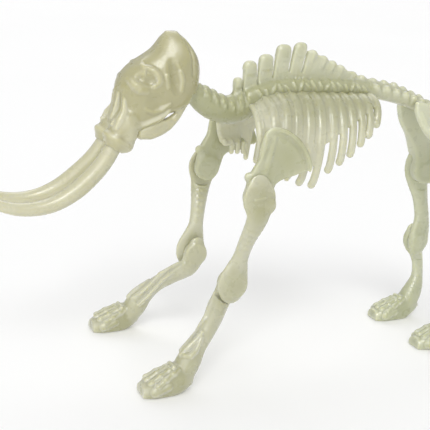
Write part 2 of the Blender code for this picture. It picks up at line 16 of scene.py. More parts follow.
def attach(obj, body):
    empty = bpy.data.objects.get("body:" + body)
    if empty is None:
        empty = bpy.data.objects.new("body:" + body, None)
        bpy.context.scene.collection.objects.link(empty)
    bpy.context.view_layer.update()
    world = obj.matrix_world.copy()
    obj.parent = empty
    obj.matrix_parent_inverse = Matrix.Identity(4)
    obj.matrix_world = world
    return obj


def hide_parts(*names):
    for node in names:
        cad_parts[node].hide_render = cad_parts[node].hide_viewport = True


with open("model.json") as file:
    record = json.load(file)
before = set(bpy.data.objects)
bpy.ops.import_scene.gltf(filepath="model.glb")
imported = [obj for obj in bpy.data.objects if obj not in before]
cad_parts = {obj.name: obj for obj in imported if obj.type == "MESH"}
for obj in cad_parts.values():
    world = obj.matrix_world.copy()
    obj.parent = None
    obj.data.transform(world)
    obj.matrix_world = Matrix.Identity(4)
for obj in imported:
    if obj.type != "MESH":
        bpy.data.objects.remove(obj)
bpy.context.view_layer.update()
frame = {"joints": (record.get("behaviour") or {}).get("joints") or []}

MM = 0.001
SIDES = (("left", -1), ("right", 1))
CELL = 0.4  # grid spacing of the sculpted pieces
FAR = 9.0  # distance that stands for empty space
UNITS = np.eye(3, dtype=int)  # one grid step along each axis
PULL = 0.8  # share of its gap that a point moves towards the surface at once

JOINTS = {}
for joint in frame["joints"]:
    JOINTS[joint["name"]] = tuple(value / MM for value in joint["pos_m"])

HEAD_PIVOT = JOINTS["head_nod"]
JAW_PIVOT = JOINTS["jaw_swing"]
TAIL_PIVOT = JOINTS["tail_lift"]
SHOULDER = JOINTS["shoulder_right"]
ELBOW = JOINTS["elbow_right"]
HIP = JOINTS["hip_right"]
KNEE = JOINTS["knee_right"]
PIN = 1.7  # radius of the pins of the limbs
HOLE = 2.05  # radius of their holes
INNER_FACE = 0.1  # the inner piece ends this far inside a joint's plane
OUTER_FACE = 0.45  # and the outer piece starts this far outside it


# ---- sculpting

class Clay:
    """A solid sampled on a grid as the distance to its surface, in millimetres."""

    def __init__(self, low, high):
        self.low = np.array(low, float)
        counts = np.ceil((np.array(high, float) - self.low) / CELL).astype(int) + 1
        self.axes = [self.low[k] + CELL * np.arange(counts[k]) for k in range(3)]
        self.field = np.full(counts, FAR)
        self.whole = self.field

    def mix(self, shape, blend, mirror, sign):
        """Merges a shape with the solid, or for a sign of -1 with the empty space around it."""
        distance, low, high = shape
        if mirror:
            reach = max(abs(low[1]), abs(high[1]))
            low, high = (low[0], -reach, low[2]), (high[0], reach, high[2])
        margin = blend + 2 * CELL
        spans = []
        for k in range(3):
            first = np.searchsorted(self.axes[k], low[k] - margin)
            last = np.searchsorted(self.axes[k], high[k] + margin)
            spans.append(slice(first, max(last, first + 1)))
        spans = tuple(spans)
        x, y, z = np.ix_(*(axis[span] for axis, span in zip(self.axes, spans)))
        if min(x.size, y.size, z.size) == 0:
            return
        new = distance(x, np.abs(y) if mirror else y, z)
        old = sign * self.field[spans]
        near = np.clip(blend - np.abs(old - new), 0, None)
        self.field[spans] = sign * (np.minimum(old, new) - near * near / (4 * blend))

    def add(self, shape, blend=0.8, mirror=False):
        """Joins a shape, with a fillet of about the blend's size where it meets the rest."""
        self.mix(shape, blend, mirror, 1)

    def cut(self, shape, blend=0.5, mirror=False):
        """Takes a shape away, with an edge that is rounded by about the blend's size."""
        self.mix(shape, blend, mirror, -1)

    def keep_depth(self):
        """Remembers the solid before pockets are cut that the light doesn't show."""
        self.whole = self.field.copy()

    def read(self, points, field=None):
        """Distances at free points, interpolated from the grid."""
        field = self.field if field is None else field
        place = np.clip((points - self.low) / CELL, 0, np.array(field.shape) - 1.001)
        base = place.astype(int)
        part = place - base
        total = np.zeros(len(points))
        for corner in range(8):
            step = np.array([corner & 1, corner >> 1 & 1, corner >> 2 & 1])
            weight = np.prod(np.where(step, part, 1 - part), axis=1)
            total += weight * field[tuple((base + step).T)]
        return total

    def slope(self, points):
        """Direction in which the distance grows, at free points."""
        parts = []
        for k in range(3):
            step = 0.5 * CELL * UNITS[k]
            parts.append(self.read(points + step) - self.read(points - step))
        slope = np.stack(parts, axis=1)
        return slope / np.maximum(np.linalg.norm(slope, axis=1, keepdims=True), 1e-9)

    def skin(self):
        """Corner places and quads of the surface: one corner in each cell that it crosses."""
        inside = self.field < 0
        counts = np.array(self.field.shape) - 1
        total = np.zeros(counts, int)
        corners = list(np.ndindex(2, 2, 2))
        for a, b, c in corners:
            total += inside[a:a + counts[0], b:b + counts[1], c:c + counts[2]]
        crossed = (total > 0) & (total < 8)
        cells = np.argwhere(crossed)
        number = np.full(counts, -1)
        number[crossed] = np.arange(len(cells))
        middle = np.zeros((len(cells), 3))
        hits = np.zeros(len(cells))
        for start in corners:
            for k in range(3):
                if start[k]:
                    continue
                step = UNITS[k]
                here = self.field[tuple((cells + start).T)]
                there = self.field[tuple((cells + start + step).T)]
                crossing = (here < 0) != (there < 0)
                share = here[crossing] / (here[crossing] - there[crossing])
                middle[crossing] += np.array(start) + step * share[:, None]
                hits[crossing] += 1
        places = self.low + (cells + middle / hits[:, None]) * CELL
        for _ in range(2):
            places -= np.clip(self.read(places), -0.3, 0.3)[:, None] * self.slope(places) * PULL
        quads = []
        for k in range(3):
            u, v = (k + 1) % 3, (k + 2) % 3
            changed = np.diff(inside, axis=k)
            for axis in (u, v):
                for border in (0, -1):
                    edge = [slice(None)] * 3
                    edge[axis] = border
                    changed[tuple(edge)] = False
            spots = np.argwhere(changed)
            neighbours = (UNITS[u] + UNITS[v], UNITS[v], 0 * UNITS[u], UNITS[u])
            ring = np.stack([number[tuple((spots - back).T)] for back in neighbours], axis=1)
            inward = ~inside[tuple(spots.T)]
            ring[inward] = ring[inward][:, ::-1]
            quads.append(ring)
        return places, np.concatenate(quads)


def squashed(ratios):
    """Distance to an ellipsoid or elliptic rod, from (offset, half size) pairs of its axes."""
    near = np.sqrt(sum((offset / half) ** 2 for offset, half in ratios))
    steep = np.sqrt(sum((offset / half ** 2) ** 2 for offset, half in ratios))
    return near * (near - 1) / np.maximum(steep, 1e-6)


def bar(start, end, radius, radius_end=None, flat=1.0):
    """A rod with rounded ends. Flat below 1 makes it thinner along Y than across."""
    start, end = np.array(start, float), np.array(end, float)
    radius_end = radius if radius_end is None else radius_end
    along = end - start
    length = max(along @ along, 1e-9)

    def distance(x, y, z):
        x, y, z = x - start[0], y - start[1], z - start[2]
        share = np.clip((x * along[0] + y * along[1] + z * along[2]) / length, 0, 1)
        x, y, z = x - along[0] * share, y - along[1] * share, z - along[2] * share
        reach = radius + (radius_end - radius) * share
        if flat == 1.0:
            return np.sqrt(x * x + y * y + z * z) - reach
        return squashed(((x, reach), (y, reach * flat), (z, reach)))

    reach = max(radius, radius_end) * max(1.0, flat)
    return distance, np.minimum(start, end) - reach, np.maximum(start, end) + reach


def bead(centre, radii, lean=0.0):
    """An ellipsoid. Lean turns it about Y, in degrees, from +X towards +Z."""
    centre = np.array(centre, float)
    level, rise = cos(radians(lean)), sin(radians(lean))

    def distance(x, y, z):
        x, y, z = x - centre[0], y - centre[1], z - centre[2]
        x, z = x * level + z * rise, z * level - x * rise
        return squashed(((x, radii[0]), (y, radii[1]), (z, radii[2])))

    across = max(radii[0], radii[2])
    reach = np.array([across, radii[1], across])
    return distance, centre - reach, centre + reach


def bone(start, end):
    """One stretch of bone between two stations (x, y, z, half size in XZ, half size in Y)."""
    a, b = np.array(start, float), np.array(end, float)
    along = (b - a)[[0, 2]]
    length = max(along @ along, 1e-9)

    def distance(x, y, z):
        dx, dz = x - a[0], z - a[2]
        share = np.clip((dx * along[0] + dz * along[1]) / length, 0, 1)
        dx, dz = dx - along[0] * share, dz - along[1] * share
        dy = y - a[1] - (b[1] - a[1]) * share
        reach = a[3] + (b[3] - a[3]) * share
        width = a[4] + (b[4] - a[4]) * share
        return squashed(((dx, reach), (dy, width), (dz, reach)))

    reach = np.maximum(a, b)[[3, 4, 3]]
    return distance, np.minimum(a[:3], b[:3]) - reach, np.maximum(a[:3], b[:3]) + reach


def joined(shapes):
    """Several shapes as one, so that they get a fillet together and not one by one."""
    def distance(x, y, z):
        nearest = shapes[0][0](x, y, z)
        for shape in shapes[1:]:
            nearest = np.minimum(nearest, shape[0](x, y, z))
        return nearest

    low = np.min([shape[1] for shape in shapes], axis=0)
    high = np.max([shape[2] for shape in shapes], axis=0)
    return distance, low, high


def rounded(gaps, rounding):
    """Distance to a body from the distances past its faces, with its edges rounded."""
    outer = np.sqrt(sum(np.clip(gap, 0, None) ** 2 for gap in gaps))
    deepest = gaps[0]
    for gap in gaps[1:]:
        deepest = np.maximum(deepest, gap)
    return outer + np.minimum(deepest, 0) - rounding


def slab(outline, middle_y, half, rounding):
    """A plate in the XZ plane with a closed outline of (x, z) corners and rounded edges."""
    corners = np.array(outline, float)

    def distance(x, y, z):
        px, pz = np.broadcast_arrays(x, z)
        nearest = np.full(px.shape, 1e9)
        odd = np.zeros(px.shape, bool)
        for (ax, az), (bx, bz) in zip(corners, np.roll(corners, -1, axis=0)):
            ux, uz = bx - ax, bz - az
            share = np.clip(((px - ax) * ux + (pz - az) * uz) / (ux * ux + uz * uz), 0, 1)
            gap = (px - ax - ux * share) ** 2 + (pz - az - uz * share) ** 2
            nearest = np.minimum(nearest, gap)
            if az != bz:
                odd ^= ((az > pz) != (bz > pz)) & (px < ux * (pz - az) / uz + ax)
        flat = np.where(odd, -1, 1) * np.sqrt(nearest) + rounding
        thick = np.abs(y - middle_y) - half + rounding
        return rounded((flat, thick), rounding)

    low = (corners[:, 0].min(), middle_y - half, corners[:, 1].min())
    high = (corners[:, 0].max(), middle_y + half, corners[:, 1].max())
    return distance, low, high


def puck(centre, near_y, far_y, radius, rounding=0.4):
    """A disc around the Y axis line through a place (x, y, z), from near_y to far_y."""
    middle, half = (near_y + far_y) / 2, abs(far_y - near_y) / 2

    def distance(x, y, z):
        flat = np.sqrt((x - centre[0]) ** 2 + (z - centre[2]) ** 2) - radius + rounding
        thick = np.abs(y - middle) - half + rounding
        return rounded((flat, thick), rounding)

    low = (centre[0] - radius, middle - half, centre[2] - radius)
    return distance, low, (centre[0] + radius, middle + half, centre[2] + radius)


def box(low, high, rounding=0.3):
    """A block between two corners, with rounded edges."""
    low, high = np.array(low, float), np.array(high, float)
    middle, half = (low + high) / 2, (high - low) / 2 - rounding

    def distance(x, y, z):
        gaps = [np.abs(p - m) - h for p, m, h in zip((x, y, z), middle, half)]
        return rounded(gaps, rounding)

    return distance, low, high


def beyond(point, normal, low, high):
    """The part of a block that lies beyond a plane, for cutting a facet."""
    normal = np.array(normal, float) / np.linalg.norm(normal)
    level = float(np.dot(normal, point))

    def distance(x, y, z):
        return level - (normal[0] * x + normal[1] * y + normal[2] * z)

    return distance, np.array(low, float), np.array(high, float)


def profile_stack(table, power):
    """A body of level slices, squarer for a higher power. A row is (z, front x, back x, half width)."""
    rows = np.array(sorted(table), float)

    def distance(x, y, z):
        levels = z.ravel()
        step = levels[1] - levels[0] if levels.size > 1 else 1.0
        reach = max(int(round(0.7 / step)), 1)
        spread = np.arange(-2 * reach, 2 * reach + 1) * step
        values = []
        for column in (1, 2, 3):
            near = np.interp(levels[:, None] + spread[None, :], rows[:, 0], rows[:, column])
            values.append(near.mean(axis=1).reshape(z.shape))
        front, back, width = values
        middle, half = (front + back) / 2, np.maximum((back - front) / 2, 0.3)
        width = np.maximum(width, 0.3)
        u, v = np.abs((x - middle) / half), np.abs(y / width)
        ratio = np.maximum((u ** power + v ** power) ** (1 / power), 1e-3)
        steep = np.sqrt((u ** (power - 1) / half) ** 2 + (v ** (power - 1) / width) ** 2)
        flat = (ratio - 1) * ratio ** (power - 1) / np.maximum(steep, 1e-3)
        ends = np.maximum(rows[0, 0] - z, z - rows[-1, 0])
        return np.maximum(flat, ends)

    low = (rows[:, 1].min(), -rows[:, 3].max(), rows[0, 0])
    return distance, low, (rows[:, 2].max(), rows[:, 3].max(), rows[-1, 0])


def loaf(table, middle_y):
    """A body of upright slices. A row is (x, bottom z, top z, half width)."""
    body, low, high = profile_stack(table, 2.2)

    def distance(x, y, z):
        return body(z, y - middle_y, x)

    return distance, (low[2], middle_y + low[1], low[0]), (high[2], middle_y + high[1], high[0])


def smooth_path(points, count):
    """Points spaced along a curve that passes through the given ones."""
    points = np.array(points, float)
    padded = np.vstack([2 * points[0] - points[1], points, 2 * points[-1] - points[-2]])
    made = []
    for place in np.linspace(0, len(points) - 1, count):
        index = min(int(place), len(points) - 2)
        t = place - index
        p0, p1, p2, p3 = padded[index:index + 4]
        made.append(0.5 * (
            2 * p1 + (p2 - p0) * t + (2 * p0 - 5 * p1 + 4 * p2 - p3) * t * t
            + (3 * p1 - p0 - 3 * p2 + p3) * t ** 3
        ))
    return np.array(made)


def limb(stations, between=3):
    """A run of bone through stations, with extra ones between for a smooth outline."""
    fine = smooth_path(stations, (len(stations) - 1) * between + 1)
    return joined([bone(start, end) for start, end in zip(fine, fine[1:])])


def rope(points, radii, flat=1.0):
    """A bent rod through points, with one radius or a radius for each."""
    if np.isscalar(radii):
        radii = [radii] * len(points)
    pairs = zip(points, points[1:], radii, radii[1:])
    return joined([bar(start, end, first, last, flat) for start, end, first, last in pairs])


def settled(clay, points, lift=0.0):
    """The nearest points to the given ones at a height of lift above the surface of the clay."""
    places = np.array(points, float)
    for _ in range(12):
        slope = clay.slope(places)
        places -= slope * np.clip(clay.read(places) - lift, -1.5, 1.5)[:, None] * PULL
    return [tuple(place) for place in places]


def settled_rope(clay, stations, lift):
    """A rope along the surface, through stations (x, y, z, radius) that settle onto it."""
    places = settled(clay, [station[:3] for station in stations], lift)
    return rope(places, [station[3] for station in stations])


def raise_ridge(clay, stations, blend, lift=0.0, mirror=False):
    """Adds a rod along the surface."""
    clay.add(settled_rope(clay, stations, lift), blend, mirror)


def press_groove(clay, stations, blend, lift=0.0, mirror=False):
    """Cuts a groove along the surface."""
    clay.cut(settled_rope(clay, stations, lift), blend, mirror)


def on_skin(clay, point):
    """The place of the surface that is nearest to a point."""
    return settled(clay, [point])[0]


# ---- plastic

def set_values(node, values):
    for name, value in values.items():
        node.inputs[name].default_value = value


def new_node(tree, kind, values=None):
    node = tree.nodes.new("ShaderNode" + kind)
    set_values(node, values or {})
    return node


def new_material(name):
    material = bpy.data.materials.new(name)
    material.use_nodes = True
    tree = material.node_tree
    return material, tree, tree.nodes["Principled BSDF"]


def new_ramp(tree, low, high, low_colour, high_colour):
    """A colour ramp between two positions."""
    ramp = new_node(tree, "ValToRGB")
    for element, place, colour in zip(ramp.color_ramp.elements, (low, high), (low_colour, high_colour)):
        element.position = place
        element.color = (*colour, 1.0)
    return ramp


def plastic(name, pale, deep):
    """Translucent moulded plastic: its own olive tint where it is thick, and painted see-through light that
    makes it pale where it is thin.
    """
    material, tree, shader = new_material(name)
    link = tree.links.new
    set_values(shader, {
        "IOR": 1.49,
        "Subsurface Weight": 0.85,
        "Subsurface Radius": (1.0, 0.95, 0.6),
        "Subsurface Scale": 3.0 * MM,
        "Coat Weight": 0.6,
        "Coat Roughness": 0.12,
    })

    # colour from the thickness, with clouds in it: painted see-through light where thin, olive tint and
    # painted shade where thick
    thick = new_node(tree, "Attribute")
    thick.attribute_name = "depth"
    where = new_node(tree, "TexCoord")
    cloud = new_node(tree, "TexNoise", {"Scale": 95.0, "Detail": 3.0})
    link(where.outputs["Object"], cloud.inputs["Vector"])
    drift = new_node(tree, "Math", {1: 0.36, 2: -0.18})
    drift.operation = "MULTIPLY_ADD"
    link(cloud.outputs["Fac"], drift.inputs[0])
    total = new_node(tree, "Math")
    total.operation = "ADD"
    total.use_clamp = True
    link(thick.outputs["Fac"], total.inputs[0])
    link(drift.outputs[0], total.inputs[1])
    ramp = new_ramp(tree, 0.05, 0.95, pale, deep)
    link(total.outputs[0], ramp.inputs["Fac"])
    link(ramp.outputs["Color"], shader.inputs["Base Color"])

    # gloss and relief from the same smears
    smear = new_node(tree, "TexNoise", {"Scale": 260.0, "Detail": 2.0})
    link(where.outputs["Object"], smear.inputs["Vector"])
    gloss = new_node(tree, "MapRange", {"To Min": 0.20, "To Max": 0.38})
    link(smear.outputs["Fac"], gloss.inputs["Value"])
    link(gloss.outputs["Result"], shader.inputs["Roughness"])
    relief = new_node(tree, "Bump", {"Strength": 0.10, "Distance": 0.3 * MM})
    link(smear.outputs["Fac"], relief.inputs["Height"])
    link(relief.outputs["Normal"], shader.inputs["Normal"])
    return material


PROBES = (0.6, 1.2, 1.8, 2.6, 3.6, 5.0, 6.5)  # depths at which the thickness is looked at
PALE, DEEP = 0.9, 5.9  # thickness of the palest and of the deepest plastic


def depth_below(clay, places, shade_spots):
    """How thick the plastic is under each point of the surface, from 0 (thin) to 1 (thick).

    Shade spots (x, z, radius) add painted shade where mouldings overlap: at the joints and along the back.
    """
    inward = -clay.slope(places)
    deepest = np.zeros(len(places))
    for reach in PROBES:
        deepest = np.maximum(deepest, -clay.read(places + inward * reach, clay.whole))
    depth = np.clip((deepest - PALE) / (DEEP - PALE), 0, 1)
    # painted shade around each shade spot
    for x, z, radius in shade_spots:
        gap = np.hypot(places[:, 0] - x, places[:, 2] - z) / radius
        depth += 0.5 * np.clip(1.25 - gap, 0, 1) * (1 - depth)
    return np.clip(depth, 0, 1)


def new_object(name, data):
    made = bpy.data.objects.new(name, data)
    bpy.context.scene.collection.objects.link(made)
    return made


def make_piece(node, sculpted, material, body, side=1):
    """Makes a mesh that stands for a CAD node and moves with its body."""
    places, quads, depth = sculpted
    if side < 0:
        places = places * np.array([1, -1, 1])
        quads = quads[:, ::-1]
    mesh = bpy.data.meshes.new(node + "_skin")
    mesh.from_pydata((places * MM).tolist(), [], quads.tolist())
    mesh.shade_smooth()
    values = mesh.attributes.new("depth", "FLOAT", "POINT")
    values.data.foreach_set("value", depth.astype(np.float32))
    mesh.materials.append(material)
    piece = new_object(node + "_sculpt", mesh)
    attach(piece, body)
    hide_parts(node)


def sculpt(clay, shade_spots=()):
    """Corner places, quads and thickness of a finished clay, with painted shade at the shade spots."""
    places, quads = clay.skin()
    return places, quads, depth_below(clay, places, shade_spots)


# ---- head

JAW_GAP = (-39.6, 8.0, 102.9)  # opening between the cheek and the jaw
JAW_GAP_RADII = (2.7, 3.4, 1.2)
SKULL = (  # z, front x, back x and half width
    (134.0, -39.4, -36.8, 1.7), (133.6, -40.5, -35.6, 3.3), (132.6, -41.6, -34.1, 5.2),
    (131.0, -42.6, -32.4, 6.9), (128.6, -43.8, -30.2, 8.3), (126.0, -45.8, -28.2, 9.1),
    (123.6, -49.6, -26.9, 9.6), (121.0, -53.4, -26.1, 10.0), (118.0, -56.4, -26.0, 10.4),
    (115.0, -58.2, -26.1, 10.6), (112.0, -58.9, -26.4, 10.5), (108.0, -58.6, -26.9, 10.1),
    (106.0, -58.7, -28.2, 9.7), (104.0, -58.9, -33.5, 9.2), (102.0, -59.2, -39.5, 8.9),
    (100.5, -59.6, -45.5, 8.8), (98.6, -60.0, -50.6, 8.8), (95.0, -60.4, -51.6, 8.8),
)


def carve_crown(clay):
    """Flat sides, a groove in front of the rim at the back, and the temples."""
    clay.cut(beyond((-37.4, 6.8, 128.8), (-0.30, 0.80, 0.53), (-47, 0, 120), (-27, 12, 137)), 2.4, True)
    press_groove(clay, [
        (-35.4, 2.0, 133.2, 0.4), (-34.0, 5.0, 131.6, 0.6), (-32.8, 6.9, 128.8, 0.7),
        (-31.8, 8.1, 124.2, 0.7), (-31.4, 8.5, 118.6, 0.5),
    ], 0.8, 0.25, True)
    # hollow of the temple between two low ridges
    press_groove(clay, [
        (-40.6, 9.4, 123.6, 1.2), (-39.6, 10.2, 119.6, 2.3), (-38.8, 10.4, 115.6, 2.3),
        (-38.2, 10.4, 112.6, 1.5),
    ], 1.2, 0.9, True)
    raise_ridge(clay, [
        (-37.0, 10.1, 120.0, 0.4), (-35.8, 10.1, 116.8, 0.6), (-36.0, 10.1, 113.0, 0.5),
    ], 0.9, mirror=True)
    raise_ridge(clay, [(-42.3, 10.4, 118.4, 0.4), (-41.7, 10.6, 114.0, 0.4)], 0.9, mirror=True)


def carve_orbit(clay):
    """The orbit, with the brow above it and the cheek bone below."""
    clay.cut(bead((-50.0, 11.8, 117.0), (4.8, 3.3, 3.7), -14), 0.6, True)
    clay.cut(bead((-53.4, 9.9, 117.4), (3.0, 2.4, 2.2), -30), 0.8, True)
    raise_ridge(clay, [
        (-51.4, 5.8, 121.8, 0.5), (-50.2, 7.4, 121.2, 0.8), (-48.8, 8.7, 120.9, 1.0),
        (-47.1, 9.6, 120.0, 1.0), (-45.7, 10.1, 118.4, 1.0), (-45.1, 10.4, 116.6, 0.8),
        (-45.6, 10.4, 115.0, 0.5),
    ], 1.1, -0.2, True)
    raise_ridge(clay, [
        (-56.4, 5.6, 116.2, 0.8), (-55.2, 7.1, 115.2, 1.4), (-53.8, 8.3, 113.8, 1.7),
        (-52.2, 9.2, 112.7, 1.7), (-50.2, 9.9, 112.4, 1.2),
    ], 1.2, -0.6, True)
    clay.add(bead(on_skin(clay, (-47.0, 10.4, 114.3)), (1.1, 0.8, 0.8), 30), 0.6, True)
    # hollow behind the cheek bone, down to the jaw
    clay.cut(bead((-46.6, 12.0, 108.0), (5.0, 2.7, 3.6), -10), 1.2, True)
    raise_ridge(clay, [
        (-49.4, 9.4, 105.2, 0.5), (-46.4, 9.6, 104.2, 0.7), (-43.4, 9.8, 105.0, 0.7),
        (-40.4, 10.0, 107.4, 0.5),
    ], 1.0, -0.2, True)


def carve_nose(clay):
    """The bridge of the nose between two grooves, each ending in a pit above the lip."""
    raise_ridge(clay, [(-58.6, 0, 111.0, 1.4), (-58.8, 0, 106.0, 1.9), (-59.8, 0, 100.6, 2.0)], 1.2, -0.9)
    raise_ridge(clay, [
        (-58.4, 2.6, 110.4, 0.5), (-58.8, 2.0, 105.4, 0.8), (-60.0, 1.2, 100.8, 0.8),
    ], 0.8, mirror=True)
    press_groove(clay, [
        (-58.4, 3.9, 110.2, 0.6), (-58.8, 3.9, 105.2, 1.1), (-60.0, 4.2, 101.4, 1.2),
    ], 0.8, 0.2, True)
    raise_ridge(clay, [
        (-57.8, 5.8, 108.4, 0.6), (-57.8, 7.0, 104.6, 1.1), (-59.0, 7.8, 101.2, 1.3), (-60.4, 8.2, 98.4, 1.0),
    ], 1.0, -0.1, True)
    clay.cut(bead(on_skin(clay, (-60.6, 5.4, 100.2)), (1.4, 1.2, 1.1)), 0.4, True)
    clay.add(bead(on_skin(clay, (-61.4, 6.2, 99.2)), (0.9, 1.3, 0.7)), 0.4, True)


def sculpt_skull():
    clay = Clay((-68, -13, 84), (-22, 13, 137))
    clay.add(profile_stack(SKULL, 2.5))
    # sleeve of each tusk, ending in a lip
    clay.add(rope([(-55.8, 5.2, 100.0), (-57.6, 5.3, 96.2), (-59.2, 5.4, 92.4)], [4.4, 4.8, 4.7]), 2.0, True)
    clay.add(rope([(-54.4, 6.4, 98.0), (-55.6, 6.4, 91.4)], [3.6, 3.0]), 2.0, True)
    clay.add(bead((-58.8, 5.4, 92.8), (6.3, 5.4, 2.8), -31), 1.0, True)
    # lower edge of the cheek, which overlaps the jaw
    clay.add(rope([(-51.0, 7.7, 98.6), (-47.6, 8.0, 100.0), (-43.6, 8.4, 101.8), (-40.6, 8.5, 103.8)],
                  [1.3, 1.3, 1.2, 1.0]), 1.6, True)
    carve_crown(clay)
    carve_orbit(clay)
    carve_nose(clay)
    clay.cut(bead(JAW_GAP, JAW_GAP_RADII, 40), 0.4, True)
    clay.keep_depth()

    # room for the neck, the jaw's arms and the tusks
    clay.cut(box((HEAD_PIVOT[0] - 0.4, -3.9, 104.0), (-18, 3.9, 118.2)), 0.3)
    clay.cut(puck(HEAD_PIVOT, -3.9, 3.9, 5.2), 0.3)
    clay.cut(box((-41.0, 3.7, 90.0), (-20.0, 7.7, 111.0)), 0.3, True)
    clay.cut(bar((-55.4, 5.3, 98.2), (-62.5, 5.3, 86.4), 3.5), 0.5, True)
    return clay


def sculpt_jaw():
    clay = Clay((-55, -9.5, 88), (-28, 9.5, 114))
    lower = [(-51.0, 94.8), (-49.4, 93.8), (-46.1, 93.8), (-42.9, 94.6), (-40.1, 96.0), (-36.3, 99.3),
             (-34.0, 102.0), (-32.2, 105.4)]
    upper = [(-36.6, 103.4), (-39.7, 101.1), (-42.9, 99.6), (-45.6, 98.2), (-50.2, 96.0)]
    condyle = []
    for step in range(7):
        angle = radians(-20 + 170 * step / 6)
        condyle.append((JAW_PIVOT[0] + 2.8 * cos(angle), JAW_PIVOT[2] + 2.8 * sin(angle)))
    clay.add(slab(lower + condyle + upper, 5.6, 1.35, 1.1), 0.5, True)
    chin = lower[:3] + [(-44.6, 94.2), (-44.6, 98.2)] + upper[-1:]
    clay.add(slab(chin, 0, 6.9, 1.0), 1.0)
    body = [(-49.6, 6.7, 95.0), (-46.0, 6.9, 95.2), (-42.4, 6.8, 96.6), (-39.0, 6.5, 98.8),
            (-36.4, 6.2, 101.6)]
    clay.add(rope(body, [1.2, 1.5, 1.5, 1.5, 1.0]), 1.6, True)
    upper_body = [(-49.6, 6.9, 96.6), (-46.0, 7.1, 98.0), (-42.4, 7.0, 99.6), (-40.0, 6.8, 101.2)]
    clay.add(rope(upper_body, [1.2, 1.5, 1.4, 1.0]), 1.6, True)
    clay.cut(bead(JAW_GAP, JAW_GAP_RADII, 40), 0.4, True)
    clay.add(bar((-51.3, 5.6, 94.8), (-49.6, 5.8, 94.0), 0.8), 0.5, True)
    clay.add(puck(JAW_PIVOT, 4.6, 8.3, 1.2), 0.3, True)
    return clay


TUSK_PATH = (
    (-56.6, 96.2), (-60.3, 90.1), (-63.6, 84.7), (-68.2, 79.4), (-74.6, 73.7), (-81.4, 69.7),
    (-88.0, 67.8), (-95.0, 67.5), (-101.6, 68.8), (-108.0, 71.9), (-113.4, 76.6), (-117.0, 82.0),
)


def sculpt_tusk():
    clay = Clay((-120, 0, 62), (-52, 13, 100))
    stations = []
    line = smooth_path(TUSK_PATH, 45)
    for index, (x, z) in enumerate(line):
        share = index / (len(line) - 1)
        spread = 5.3 + 2.5 * sin(pi * max(0.0, share - 0.09))
        radius = float(np.interp(share, (0, 0.33, 0.66, 0.93, 1.0), (3.1, 3.35, 2.4, 1.25, 0.8)))
        stations.append((x, spread, z, radius))
    for first, last in zip(stations, stations[1:]):
        clay.add(bar(first[:3], last[:3], first[3], last[3]), 0.1)
    return clay


# ---- trunk

NECK_AND_BACK = (  # middle x, middle z, half height and half width
    (-27.4, 110.9, 4.2, 3.0), (-24.8, 109.6, 4.8, 3.5), (-21.4, 107.5, 5.6, 4.4), (-17.2, 105.3, 5.7, 4.8),
    (-11.2, 104.1, 5.8, 4.8), (-5.5, 105.8, 6.1, 4.8), (0.4, 109.1, 5.7, 4.6), (7.7, 111.8, 5.0, 4.3),
    (19.8, 113.5, 4.8, 4.2), (35.9, 113.9, 4.3, 4.2), (50.0, 113.5, 3.8, 4.2), (60.0, 112.7, 3.5, 4.1),
    (71.0, 110.3, 3.2, 3.9), (82.4, 106.7, 3.1, 3.7), (89.0, 103.8, 2.8, 2.9),
)
SPINES = (  # top x, top z and half width of the separate spines
    (-8.2, 117.1, 1.85), (-3.45, 123.9, 3.0), (3.5, 126.7, 3.5), (11.05, 130.9, 3.7), (18.7, 132.0, 3.3),
)
SLITS = (  # top x, top z, foot x, foot z and width of the gaps behind them
    (-6.35, 118.5, -6.0, 111.6, 0.5), (-0.3, 125.5, 0.2, 114.4, 0.85), (7.15, 128.4, 6.8, 117.4, 1.0),
    (15.2, 131.6, 14.0, 120.0, 1.15), (22.0, 130.0, 19.9, 119.8, 1.1),
)
CREST = (  # x, z of the bumps behind them
    (24.6, 129.1), (29.9, 126.9), (34.4, 125.1), (38.5, 123.4), (44.7, 120.9), (49.3, 119.5),
    (55.0, 118.4), (60.6, 117.7), (65.9, 116.9), (70.8, 115.2), (75.2, 113.5), (79.7, 111.9), (84.3, 109.7),
)


def back_at(x):
    """Middle z, half height and half width of the backbone at a place along it."""
    rows = np.array(NECK_AND_BACK)
    return tuple(float(np.interp(x, rows[:, 0], rows[:, k])) for k in (1, 2, 3))


